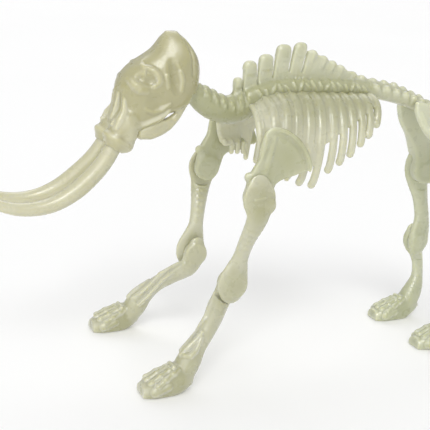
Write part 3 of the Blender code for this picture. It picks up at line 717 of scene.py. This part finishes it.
def add_fin(clay):
    """The plate of the spines: five apart, and the rest fused up to their bumps."""
    fin = [(-9.9, 106.0)]
    front_x = -9.8
    for (_, top_z, half), (gap_x, *_) in zip(SPINES, SLITS):
        fin += [(front_x, top_z - half), (gap_x, top_z - half)]
        front_x = gap_x
    for (x, z), (next_x, next_z) in zip(CREST, CREST[1:]):
        fin.append((x, z - 0.2))
        fin.append(((x + next_x) / 2 + 0.3, (z + next_z) / 2 - 1.0))
    fin += [(85.0, 109.0), (86.0, 105.0), (50.0, 112.0), (15.0, 110.0)]
    clay.add(slab(fin, 0, 1.15, 0.6), 1.2)
    for top_x, top_z, half in SPINES:
        reach = 0.86 * half
        tip = top_z - reach
        knob = [bone((top_x + shift, 0, tip, reach, 1.9), (top_x + shift, 0, tip - 1.6, reach, 1.8))
                for shift in (reach - half, 0.0, half - reach)]
        clay.add(joined(knob), 0.6)
    for x, z in CREST:
        clay.add(bar((x, 0, z - 1.4), (x - 1.0, 0, z - 4.0), 1.3, 1.2, flat=1.25), 1.0)
    for top_x, top_z, foot_x, foot_z, width in SLITS:
        corners = [(top_x - 0.6 * width, top_z + 1.5), (top_x + 0.6 * width, top_z + 1.5),
                   (foot_x + 0.4 * width, foot_z), (foot_x - 0.4 * width, foot_z)]
        clay.cut(slab(corners, 0, 4.0, 0.2), 0.5)
    # fine upright grooves of the separate spines
    for top_x, top_z, half in SPINES[2:]:
        for offset in (-0.5, 0.0, 0.5):
            low = (top_x - 0.5 + offset * half, 1.75, 117.5)
            high = (top_x - 0.1 + offset * half, 1.6, top_z - half * 1.9)
            clay.cut(bar(low, high, 0.35, 0.35), 0.6, True)
    # grooves between the fused spines, leaning back towards their tips
    for (x, z), (next_x, next_z) in zip(CREST[:6], CREST[1:7]):
        mid_x, mid_z = (x + next_x) / 2, (z + next_z) / 2
        foot = mid_x - 0.36 * (mid_z - 116.0)
        clay.cut(bar((mid_x, 1.9, mid_z - 0.6), (foot, 2.3, 118.0), 0.9, 0.7), 0.8, True)


def add_neck_rings(clay):
    for index in range(6):
        x = -24.4 + 3.7 * index
        z, high, wide = back_at(x)
        lean = 1.3 - 0.3 * index
        groove = []
        for step in range(5):
            angle = radians((90 if index < 4 else 62) - 20 * step)
            across, up = cos(angle), sin(angle)
            groove.append((x + lean * up, (wide + 0.3) * across, z + (high + 0.3) * up))
        clay.cut(rope(groove, [0.7, 0.75, 0.7, 0.5, 0.2]), 0.8, True)
        clay.add(bead((x + 1.5, wide * 0.80, z + high * 0.50), (0.5, 0.9, 1.1), 24), 0.6, True)
        clay.add(bead((x + 2.3, wide * 0.93, z + high * 0.12), (0.5, 0.7, 1.2), -8), 0.6, True)


def add_flank_marks(clay):
    """Short slanted processes along the back where the ribs hang."""
    for index in range(17):
        x = 0.5 + 3.05 * index
        z, high, wide = back_at(x)
        lean = (1.0, 0.5, -0.7, 0.8)[index % 4]
        top = z + high * (0.72, 0.50, 0.84)[index % 3]
        foot = z - high * (0.02, 0.24, -0.12, 0.16, 0.05)[index % 5]
        raise_ridge(clay, [
            (x - lean, wide, top, 0.45),
            (x, wide + 1, (top + foot) / 2, 0.65),
            (x + lean, wide + 1, foot, 0.4),
        ], 0.6, mirror=True)


def add_loin_blocks(clay):
    for (x, z), (next_x, next_z) in zip(CREST[6:], CREST[7:]):
        mid_x, mid_z = (x + next_x) / 2 + 0.5, (z + next_z) / 2
        middle, high, wide = back_at(mid_x)
        line = [
            (mid_x + 0.3, 0.0, mid_z + 0.2), (mid_x + 0.3, 2.4, mid_z - 1.0),
            (mid_x - 0.2, wide * 1.10, middle + high * 0.2), (mid_x - 0.6, wide * 1.04, middle - high * 0.6),
        ]
        clay.cut(rope(line, [0.7, 0.8, 0.75, 0.5]), 0.7, True)
    for x, z in CREST[6:]:
        middle, high, wide = back_at(x)
        clay.add(bead((x + 0.2, wide * 0.74, middle + high * 0.5), (1.6, 1.5, 1.5)), 0.8, True)


def sculpt_backbone():
    clay = Clay((-37, -8, 94), (98, 8, 135))
    clay.add(limb([(x, 0.0, z, high, wide) for x, z, high, wide in NECK_AND_BACK]))
    add_fin(clay)
    add_neck_rings(clay)
    add_flank_marks(clay)
    add_loin_blocks(clay)
    # moulding flash under the neck
    for index in range(6):
        x = -27.6 + 1.3 * index
        z, high, _ = back_at(x)
        clay.add(bead((x, 0, z - high - 0.1), (0.6, 0.5, 0.9 if index % 2 else 0.5)), 0.3)
    # knuckle and cross pin for the head, tongue and pin for the tail
    clay.add(puck(HEAD_PIVOT, -3.0, 3.0, 4.3, 0.8), 1.0)
    clay.add(puck(HEAD_PIVOT, -5.3, 5.3, 1.5), 0.3)
    clay.add(box((86.0, -1.25, 100.4), (TAIL_PIVOT[0], 1.25, 104.6)), 0.6)
    clay.add(puck(TAIL_PIVOT, -1.25, 1.25, 2.7), 0.3)
    clay.add(puck(TAIL_PIVOT, -2.6, 2.6, 1.0), 0.2)
    return clay


RIB_TIPS = (  # x and z of the lower ends; the first three end in one hem
    (-1.4, 86.2), (-0.6, 86.0), (3.2, 85.8), (8.0, 78.6), (13.6, 77.2), (19.3, 76.0),
    (26.0, 82.2), (30.9, 85.4), (35.6, 88.6), (40.2, 92.8), (44.0, 96.2), (47.6, 100.6),
)
RIB_TOP_X = (-3.2, 1.6, 7.5, 13.0, 18.9, 23.9, 28.6, 33.1, 37.6, 42.0, 46.5, 51.0)
RIB_TOP_Z = (106.3, 109.6, 111.2) + (111.8,) * 9
RIB_TOP_Y = 4.0
RIB_WEBS = (0.98, 0.98, 0.82, 0.66, 0.80, 0.64, 0.62, 0.59, 0.56, 0.52, 0.46)  # share of the ribs' length
FIRST_RIB_BOW = 3.3  # how far the first rib bows forward
HEM_TEETH = (0.0, 2.8, 5.5)  # x of the small teeth below the hem


def at_rib(rib, values):
    """A value between those of the neighbouring ribs."""
    return float(np.interp(rib, range(len(values)), values))


def rib_point(rib, step):
    """A point on the middle line of a rib, which may be a fraction. Step runs from 0 to 1."""
    share = rib / (len(RIB_TIPS) - 1)
    tip_x, tip_z = (at_rib(rib, values) for values in zip(*RIB_TIPS))
    top_x, top_z = at_rib(rib, RIB_TOP_X), at_rib(rib, RIB_TOP_Z)
    forward = FIRST_RIB_BOW * min(1.0, max(0.0, 1.0 - rib))
    last = radians(112 + 44 * max(0.0, 0.36 - share) - 54 * max(0.0, share - 0.45))
    angle = last * step
    bow = 16.5 - 8.0 * max(0.0, share - 0.4) ** 2 - 5.0 * max(0.0, 0.2 - share)
    drop = (1 - cos(angle)) / (1 - cos(last))
    return (
        top_x + (tip_x - top_x) * drop - forward * sin(angle),
        RIB_TOP_Y + bow * sin(angle),
        top_z + (tip_z - top_z) * drop,
    )


def beside_rib(rib, step, lift):
    """A point at a height above the outer side of a rib's middle line."""
    lean = radians(100 * step)
    x, y, z = rib_point(rib, step)
    return x, y + lift * sin(lean), z + lift * cos(lean)


def sculpt_rib_cage():
    clay = Clay((-12, 3.5, 72), (57, 23, 116))
    steps = np.linspace(0, 1, 15)
    for rib in range(len(RIB_TIPS)):
        points = [rib_point(rib, step) for step in steps]
        tip_x, tip_y, tip_z = points[-1]
        points[-1] = (tip_x, tip_y, tip_z + 1.5)
        slim = 0.55 if rib < 4 else 0.0
        radii = [1.2 + 0.5 * min(1.0, step * 2.0) - slim * step ** 3 for step in steps]
        clay.add(rope(points, radii, 0.72), 0.3)
        for offset in (-0.22, 0.2):
            clay.add(rope([beside_rib(rib + offset, step, 0.85) for step in steps[1:10]], 0.3), 0.5)
    # web between neighbours, flush with the ribs on the inside and lower on the outside
    for gap, reach in enumerate(RIB_WEBS):
        for part in (0.25, 0.42, 0.58, 0.75):
            points = [beside_rib(gap + part, step, -0.15) for step in np.linspace(0, reach, 9)]
            clay.add(rope(points, 0.85, 0.95), 0.5)
    # hem below the first three ribs
    for step in (0.78, 0.85, 0.92, 0.98):
        clay.add(rope([rib_point(rib, step) for rib in np.linspace(0.1, 2.3, 9)], 0.85, 0.95), 0.5)
    for x in HEM_TEETH:
        clay.add(rope([(x + 0.2, 17.4, 86.4), (x, 17.0, 83.1)], 1.12, 0.72), 0.2)
    clay.cut(box((-14, -2, 70), (60, 3.8, 120)), 0.2)
    return clay


BLADE = (
    (-12.4, 77.6), (-11.2, 83.4), (-8.4, 88.8), (-8.0, 93.4), (-7.2, 97.3), (-6.1, 100.2), (-4.3, 101.5),
    (-2.0, 102.0), (1.0, 101.5), (4.1, 100.4), (7.9, 98.0), (11.5, 94.5), (14.2, 90.1), (15.5, 85.7),
    (11.8, 84.3), (7.6, 82.8), (3.3, 81.5), (-0.4, 79.6), (-1.6, 75.4), (-4.0, 71.6),
)


def sculpt_shoulder_blade():
    clay = Clay((-16, 15, 66), (18.5, 28.5, 104.5))
    fine = smooth_path(BLADE + BLADE[:1], 61)[:-1]
    clay.add(slab(fine, 24.8, 0.95, 0.8), 0.5)
    clay.add(puck(SHOULDER, 22.7, SHOULDER[1] - INNER_FACE, 5.5, 1.0), 1.2)
    clay.add(bone((-6.4, 24.3, 79.0, 5.4, 1.7), (-4.6, 24.6, 84.0, 5.0, 1.3)), 2.0)
    # rim along the rear edge, with a groove inside it
    edge = fine[24:40]
    clay.add(rope([(x - 1.1, 25.5, z - 0.9) for x, z in edge], 0.55), 0.7)
    clay.cut(rope([(x - 2.3, 26.2, z - 1.9) for x, z in edge], 0.75), 0.8)
    clay.add(rope([(-6.0, 25.3, 84.0), (-4.4, 25.7, 89.0), (-3.4, 25.7, 94.0), (-2.8, 25.5, 98.0)],
                  [1.3, 0.8, 0.6, 0.4]), 1.2)
    clay.add(rope([(-7.6, 25.2, 89.4), (-6.6, 25.5, 93.4), (-5.6, 25.5, 97.4)], [0.4, 0.6, 0.4]), 0.9)
    clay.add(bead((-11.6, 24.4, 82.4), (1.9, 1.3, 1.9)), 0.9)
    clay.cut(puck(SHOULDER, 23.9, 28.0, HOLE, 0.1), 0.2)
    clay.add(bar((2.6, 24.0, 94.0), (2.6, 20.6, 94.0), 1.45), 0.3)
    return clay


PELVIS = (  # front x, front z, back x, back z, y and half thickness
    (74.0, 108.6, 99.2, 105.4, 6.2, 1.2), (74.2, 104.8, 102.2, 101.6, 6.8, 1.4),
    (77.6, 98.4, 103.0, 96.4, 8.5, 1.5), (83.4, 92.2, 103.2, 91.2, 10.2, 1.7),
    (88.6, 86.0, 104.2, 85.4, 11.8, 2.1), (91.4, 79.6, 107.2, 79.4, 12.8, 2.3),
    (93.2, 74.0, 109.4, 72.6, 13.2, 2.0), (96.8, 70.6, 108.0, 68.6, 13.2, 1.4),
)


def sculpt_pelvis():
    clay = Clay((72, 0.5, 64), (113, 18, 112))
    for front_x, front_z, back_x, back_z, y, half in smooth_path(PELVIS, 57):
        clay.add(bar((front_x + half, y, front_z), (back_x - half, y, back_z), half), 0.1)
    clay.add(puck(HIP, 10.7, HIP[1] - INNER_FACE, 6.9, 1.2), 1.6)
    clay.add(rope([(80.8, 9.8, 98.0), (86.0, 12.2, 91.0), (90.6, 14.4, 83.6)], [0.7, 1.2, 1.5]), 1.8)
    clay.add(rope([(77.0, 7.8, 104.6), (80.4, 9.4, 98.4), (84.6, 11.2, 91.6), (88.4, 13.2, 85.4)], 0.55), 0.9)
    clay.cut(bead((94.4, 11.8, 97.4), (6.4, 2.2, 5.6), -18), 1.8)
    clay.cut(bead((103.4, 13.2, 73.4), (2.2, 4.4, 1.9)), 0.6)
    clay.cut(puck(HIP, 12.6, 18.0, HOLE, 0.1), 0.2)
    clay.cut(box((70, -2, 60), (116, 4.7, 115)), 0.2)
    return clay


def sculpt_tail():
    clay = Clay((88, -5, 61), (121, 5, 108))
    path = smooth_path([
        (94.0, 0, 102.5), (97.6, 0, 101.6), (102.0, 0, 99.0), (106.4, 0, 94.6), (109.8, 0, 88.8),
        (112.6, 0, 82.4), (114.8, 0, 75.6), (116.4, 0, 68.4), (116.9, 0, 65.6),
    ], 33)
    radii = np.interp(np.linspace(0, 1, 33), (0, 0.3, 0.7, 1.0), (2.6, 2.4, 1.8, 0.8))
    clay.add(rope(list(path), list(radii * 0.84)), 0.4)
    for place, radius in list(zip(path, radii))[3::3]:
        clay.add(bead(place, (radius * 1.02, radius, radius * 0.85)), 0.5)
    clay.add(puck(TAIL_PIVOT, -3.3, 3.3, 3.0, 0.8), 0.8)
    clay.cut(puck(TAIL_PIVOT, -1.75, 1.75, 3.5, 0.2), 0.3)
    clay.cut(box((84.0, -1.75, 92.0), (TAIL_PIVOT[0], 1.75, 112.0), 0.2), 0.3)
    return clay


# ---- limbs

def sculpt_upper_foreleg():
    clay = Clay((-23, 16.5, 29), (2, 33, 84))
    clay.add(limb((
        (-8.0, 26.9, 79.4, 4.6, 0.5), (-7.8, 27.5, 75.2, 6.3, 1.1), (-7.8, 28.2, 68.8, 5.0, 1.8),
        (-8.5, 27.4, 64.2, 4.2, 2.3), (-9.8, 24.9, 57.4, 3.4, 2.4), (-11.0, 22.9, 49.8, 3.3, 2.3),
        (-12.2, 22.4, 43.8, 5.0, 2.1), (-13.2, 22.3, 38.8, 6.4, 1.9), (-13.4, 22.3, 35.4, 5.2, 1.7),
    )))
    clay.add(bead((SHOULDER[0], 27.3, SHOULDER[2] - 0.4), (6.6, 1.3, 6.4)), 1.6)
    clay.add(bead((-3.2, 28.2, 71.8), (2.3, 1.4, 2.5)), 1.4)
    raise_ridge(clay, [(-10.3, 29.2, 74.5, 0.4), (-8.2, 29.3, 75.2, 0.4), (-6.2, 29.2, 75.6, 0.4)], 0.5)
    clay.cut(puck(SHOULDER, 21.0, SHOULDER[1] + 0.3, 8.4, 0.3), 0.4)
    clay.add(puck(ELBOW, ELBOW[1] + OUTER_FACE, 24.2, 5.2, 1.2), 1.2)
    clay.cut(box((-30, 10, 25), (5, 20.4, 60)), 0.2)
    clay.add(puck(SHOULDER, 24.2, 28.0, PIN, 0.2), 0.2)
    clay.add(puck(ELBOW, 17.4, 22.0, PIN, 0.2), 0.2)
    return clay


FOOT = (  # share of the length, top, lift of the sole from the ground and width
    (-0.02, 4.2, 0.0, 0.60), (0.08, 5.8, 0.0, 0.82), (0.22, 7.4, 0.0, 0.92), (0.42, 9.4, 0.0, 0.94),
    (0.66, 11.0, 0.0, 0.84), (0.86, 9.6, 0.35, 0.66), (0.96, 7.8, 1.0, 0.48), (1.0, 6.4, 2.2, 0.30),
)


def add_foot(clay, toe_x, heel_x, foot_y, spread, heel_lift, ankle):
    """A pad with five rays from the ankle to the toes, and small bones of the wrist above."""
    length = heel_x - toe_x
    rows = []
    for share, top, lift, width in FOOT:
        bottom = -2.0 if share < 0.8 else lift + heel_lift * (share - 0.8) * 5
        rows.append((toe_x + length * share, bottom, top, spread * width))
    clay.add(loaf(rows, foot_y), 1.0)
    for toe in range(5):
        place = toe - 2
        tip_x = toe_x + 1.7 + 0.55 * place * place
        tip_y = foot_y + place * spread * 0.41
        clay.add(bar((tip_x + 5.0, tip_y - place * 0.2, 4.6), (tip_x, tip_y, 2.6), 1.8, 1.7), 0.4)
        clay.add(bead((tip_x - 0.2, tip_y, 2.9), (1.9, 1.6, 2.0)), 0.3)
        line = []
        for share in (0.0, 0.3, 0.6, 0.85):
            line.append((
                tip_x + 1.0 + (ankle[0] - tip_x) * share,
                tip_y + (ankle[1] + place * spread * 0.22 - tip_y) * share,
                5.0 + (ankle[2] - 5.0) * share,
            ))
        line = settled(clay, line, -0.2)
        clay.add(rope(line, [1.1, 1.1, 1.0, 0.7]), 0.5)
        for knuckle, size in zip(line, (1.3, 1.3, 1.2)):
            clay.add(bead(knuckle, (size * 1.2, size, size)), 0.3)
    for toe in range(4):
        place = toe - 1.5
        stone = (ankle[0] - 2.6, ankle[1] + place * spread * 0.26, ankle[2] - 0.4)
        clay.add(bead(settled(clay, [stone], -0.1)[0], (1.0, 1.0, 1.0)), 0.3)
    clay.cut(box((toe_x - 9, foot_y - 20, -12), (heel_x + 9, foot_y + 20, 0.0), 0.05), 0.15)


def sculpt_lower_foreleg():
    clay = Clay((-57, 13.5, -2), (-4, 42, 46))
    clay.add(limb((
        (-12.0, 17.9, 41.8, 3.4, 1.4), (-12.8, 17.9, 36.8, 4.8, 1.8), (-14.6, 18.1, 32.6, 4.5, 1.9),
        (-16.0, 19.2, 30.8, 4.3, 2.0), (-18.6, 21.8, 28.3, 4.1, 2.3), (-21.4, 24.8, 25.3, 3.8, 2.5),
        (-25.6, 28.0, 21.0, 3.5, 2.7), (-30.0, 29.7, 15.9, 3.9, 3.1), (-33.4, 30.8, 11.0, 5.0, 4.3),
        (-35.6, 31.6, 7.0, 4.6, 4.4),
    ), 8))
    # two long bones with a groove between them on the inner side
    raise_ridge(clay, [
        (-20.0, 19.0, 34.6, 0.6), (-24.8, 25.4, 26.4, 0.9), (-28.8, 27.0, 20.8, 1.0),
        (-32.8, 27.9, 17.0, 1.1), (-35.6, 29.0, 14.8, 0.9),
    ], 0.7)
    raise_ridge(clay, [
        (-17.4, 16.7, 34.0, 0.5), (-20.8, 20.0, 29.6, 0.8), (-24.2, 25.0, 24.0, 0.9),
        (-27.6, 26.6, 19.0, 1.0), (-31.0, 26.9, 14.8, 1.1), (-33.4, 27.2, 12.4, 0.8),
    ], 0.7)
    press_groove(clay, [
        (-21.6, 21.6, 30.8, 0.5), (-26.0, 26.0, 22.6, 0.8), (-30.4, 27.2, 17.0, 0.9),
        (-34.0, 27.6, 13.6, 0.8),
    ], 0.7, 0.3)
    # crest along the front edge and the raised rim above the wrist on the outer side
    raise_ridge(clay, [
        (-28.4, 30.4, 22.6, 0.6), (-31.6, 31.2, 19.6, 1.1), (-34.4, 31.4, 17.2, 1.2),
        (-36.8, 31.4, 14.6, 1.0),
    ], 0.8, 0.1)
    raise_ridge(clay, [
        (-28.6, 31.4, 20.8, 0.5), (-29.9, 32.0, 18.8, 0.9), (-31.6, 33.0, 16.2, 1.1),
        (-33.8, 33.5, 14.4, 1.1), (-36.0, 32.6, 14.4, 0.8),
    ], 0.7, 0.1)
    clay.add(puck(ELBOW, 16.0, ELBOW[1] - INNER_FACE, 5.0, 1.0), 1.0)
    add_foot(clay, -52.6, -32.4, 32.4, 6.3, 0.6, (-38.0, 31.6, 11.0))
    clay.cut(puck(ELBOW, 16.9, 24.0, HOLE, 0.1), 0.2)
    clay.cut(puck(ELBOW, ELBOW[1] - 0.05, 26.0, 7.9, 0.4), 1.3)
    return clay


def sculpt_thigh():
    clay = Clay((87, 11, 31), (112, 23.5, 86))
    clay.add(limb((
        (97.7, 18.6, 80.4, 5.0, 2.0), (98.4, 18.6, 74.8, 7.0, 2.3), (99.6, 18.4, 68.4, 5.6, 2.4),
        (101.8, 17.8, 60.6, 4.0, 2.4), (103.3, 16.4, 51.6, 3.8, 2.3), (103.1, 15.7, 45.4, 4.8, 2.2),
        (102.7, 15.5, 40.0, 5.4, 2.2), (102.6, 15.5, 36.4, 4.4, 1.9),
    )))
    clay.add(puck(HIP, HIP[1] + OUTER_FACE, 20.6, 5.8, 1.4), 1.2)
    clay.add(puck(KNEE, 13.6, KNEE[1] - INNER_FACE, 4.6, 1.2), 1.2)
    clay.cut(box((80, 18.1, 28), (116, 26, 49)), 0.3)
    clay.cut(puck(KNEE, 14.7, 20.0, HOLE, 0.1), 0.2)
    clay.cut(box((80, 10, 64), (116, HIP[1] + 0.4, 90)), 0.2)
    clay.add(puck(HIP, 13.0, 18.0, PIN, 0.2), 0.2)
    return clay


def sculpt_lower_hindleg():
    clay = Clay((79, 8.5, -2), (112, 26, 47))
    clay.add(limb((
        (102.5, 20.5, 43.0, 3.4, 1.4), (102.9, 20.5, 37.6, 4.7, 1.7), (105.8, 20.3, 32.4, 3.6, 1.9),
        (107.4, 19.6, 26.6, 2.9, 1.9), (107.5, 18.6, 20.0, 3.1, 2.3), (106.0, 17.8, 14.8, 4.4, 3.5),
        (103.6, 17.3, 10.0, 5.2, 4.4), (101.4, 17.1, 7.0, 4.4, 4.2),
    )))
    clay.add(puck(KNEE, KNEE[1] + OUTER_FACE, 22.0, 4.4, 1.2), 1.2)
    add_foot(clay, 83.8, 108.0, 17.2, 6.0, 3.2, (99.0, 17.2, 11.5))
    clay.cut(box((78, 8, 28), (116, KNEE[1] + 0.4, 48)), 0.3)
    clay.add(puck(KNEE, 15.2, 20.0, PIN, 0.2), 0.2)
    return clay


# ---- assembly

BACK_LINE = [  # x, z and radius of painted shade on the thick plastic along the neck and the back
    (-25.0, 108.0, 9.0), (-16.0, 105.5, 10.0), (-7.0, 107.0, 9.0), (1.0, 112.0, 8.0), (9.0, 114.5, 8.0),
    (17.0, 115.0, 8.0), (25.0, 115.0, 8.0), (33.0, 114.8, 7.5), (41.0, 114.4, 7.0), (49.0, 113.4, 5.0),
]
# painted shade on the tops of the ribs, where they hang under the backbone
RIB_LINE = [(x, z, radius + 7.0) for x, z, radius in BACK_LINE[4:]]


def around(joint, radius):
    """A dense place around a joint."""
    return joint[0], joint[2], radius


def build_figure():
    # each plastic: pale colour for painted see-through light in thin parts, deep colour for its olive tint
    # and painted shade where thick
    head = plastic("head_plastic", (0.60, 0.585, 0.445), (0.42, 0.40, 0.235))
    back = plastic("backbone_plastic", (0.55, 0.555, 0.42), (0.365, 0.37, 0.21))
    cage = plastic("rib_plastic", (0.535, 0.53, 0.405), (0.355, 0.355, 0.21))
    foreleg = plastic("foreleg_plastic", (0.545, 0.54, 0.425), (0.39, 0.385, 0.23))
    rear = plastic("rear_plastic", (0.56, 0.57, 0.435), (0.39, 0.405, 0.25))
    # painted shade on the jaw around its pivot and under the cheek's edge
    jaw_shade_spots = [around(JAW_PIVOT, 14.0), (-46.0, 96.0, 10.0)]
    make_piece("skull", sculpt(sculpt_skull()), head, "head")
    make_piece("lower_jaw", sculpt(sculpt_jaw(), jaw_shade_spots), head, "jaw")
    make_piece("backbone", sculpt(sculpt_backbone(), BACK_LINE), back, "trunk")
    make_piece("tail", sculpt(sculpt_tail()), rear, "tail")
    # painted shade around the joints, where mouldings overlap
    shoulder, elbow = around(SHOULDER, 12.0), around(ELBOW, 10.0)
    hip, knee = around(HIP, 12.0), around(KNEE, 9.0)
    # painted shade on the shoulder blade around its joint and where it lies over the ribs; the upper foreleg
    # also gets it at its head, under the blade
    blade_shade_spots = [shoulder, (8.0, 92.0, 17.0), (0.0, 90.0, 14.0)]
    pairs = (
        ("tusk", sculpt_tusk, (), head, "head"),
        ("rib_cage", sculpt_rib_cage, RIB_LINE, cage, "trunk"),
        ("shoulder_blade", sculpt_shoulder_blade, blade_shade_spots, back, "trunk"),
        ("pelvis", sculpt_pelvis, [hip], rear, "trunk"),
        ("upper_foreleg", sculpt_upper_foreleg, [shoulder, elbow, (-7.6, 72.0, 9.0)], foreleg, None),
        ("lower_foreleg", sculpt_lower_foreleg, [elbow], foreleg, None),
        ("thigh", sculpt_thigh, [hip, knee], rear, None),
        ("lower_hindleg", sculpt_lower_hindleg, [knee], rear, None),
    )
    for name, make_clay, shade_spots, material, body in pairs:
        done = sculpt(make_clay(), shade_spots)
        for side_name, side in SIDES:
            node = name + "_" + side_name
            make_piece(node, done, material, body or node, side)


# ---- room, light and camera

def add_floor():
    mesh = bpy.data.meshes.new("floor")
    reach = 12.0
    corners = [(-reach, -reach, 0), (reach, -reach, 0), (reach, reach, 0), (-reach, reach, 0)]
    mesh.from_pydata(corners, [], [(0, 1, 2, 3)])
    floor = new_object("floor", mesh)
    floor.location.z = -0.2 * MM
    material, tree, shader = new_material("floor_paint")
    set_values(shader, {"Roughness": 0.8})
    grain = new_node(tree, "TexNoise", {"Scale": 40.0})
    ramp = new_ramp(tree, 0.0, 1.0, (0.93, 0.93, 0.93), (0.96, 0.96, 0.96))
    tree.links.new(grain.outputs["Fac"], ramp.inputs["Fac"])
    tree.links.new(ramp.outputs["Color"], shader.inputs["Base Color"])
    mesh.materials.append(material)


def add_lamp(name, azimuth, elevation, strength, spread, shadow=True):
    """Soft even light from a wide, distant source. The azimuth turns from +X towards +Y."""
    light = bpy.data.lights.new(name, "SUN")
    light.energy = strength
    light.angle = radians(spread)
    light.use_shadow = shadow
    lamp = new_object(name, light)
    turn, rise = radians(azimuth), radians(elevation)
    source = Vector((cos(turn) * cos(rise), sin(turn) * cos(rise), sin(rise)))
    lamp.rotation_euler = source.to_track_quat("Z", "Y").to_euler()


def add_light():
    add_lamp("key", -112, 48, 0.8, 24)
    add_lamp("fill", -125, 34, 1.5, 70, shadow=False)
    add_lamp("rim", 70, 48, 0.7, 50)
    # a white room that lights the figure less than the camera sees it
    world = bpy.data.worlds.new("studio")
    world.use_nodes = True
    tree = world.node_tree
    white = (1.0, 1.0, 1.0, 1.0)
    glow = tree.nodes["Background"]
    set_values(glow, {"Color": white, "Strength": 0.44})
    backdrop = new_node(tree, "Background", {"Color": white, "Strength": 0.95})
    seen = new_node(tree, "LightPath")
    choice = new_node(tree, "MixShader")
    tree.links.new(seen.outputs["Is Camera Ray"], choice.inputs["Fac"])
    tree.links.new(glow.outputs["Background"], choice.inputs[1])
    tree.links.new(backdrop.outputs["Background"], choice.inputs[2])
    tree.links.new(choice.outputs["Shader"], tree.nodes["World Output"].inputs["Surface"])
    bpy.context.scene.world = world
    bpy.context.scene.view_settings.view_transform = "Standard"


CAMERA_TARGET = Vector((-0.013, 0.0, 0.0604))
CAMERA_DISTANCE = 0.390
CAMERA_AZIMUTH = radians(-25.14)
CAMERA_ELEVATION = radians(15.44)
CAMERA_ROLL = radians(5.03)
CAMERA_LENS = 79.6


def add_camera():
    data = bpy.data.cameras.new("camera")
    data.lens = CAMERA_LENS
    data.sensor_width = 36.0
    data.clip_start = 0.01
    data.clip_end = 20.0
    camera = new_object("camera", data)
    flat = cos(CAMERA_ELEVATION)
    back = Vector((
        sin(CAMERA_AZIMUTH) * flat, -cos(CAMERA_AZIMUTH) * flat, sin(CAMERA_ELEVATION),
    ))
    turn = back.to_track_quat("Z", "Y").to_matrix().to_4x4()
    place = Matrix.Translation(CAMERA_TARGET + back * CAMERA_DISTANCE)
    camera.matrix_world = place @ turn @ Matrix.Rotation(CAMERA_ROLL, 4, "Z")
    bpy.context.scene.camera = camera


build_figure()
add_floor()
add_light()
add_camera()
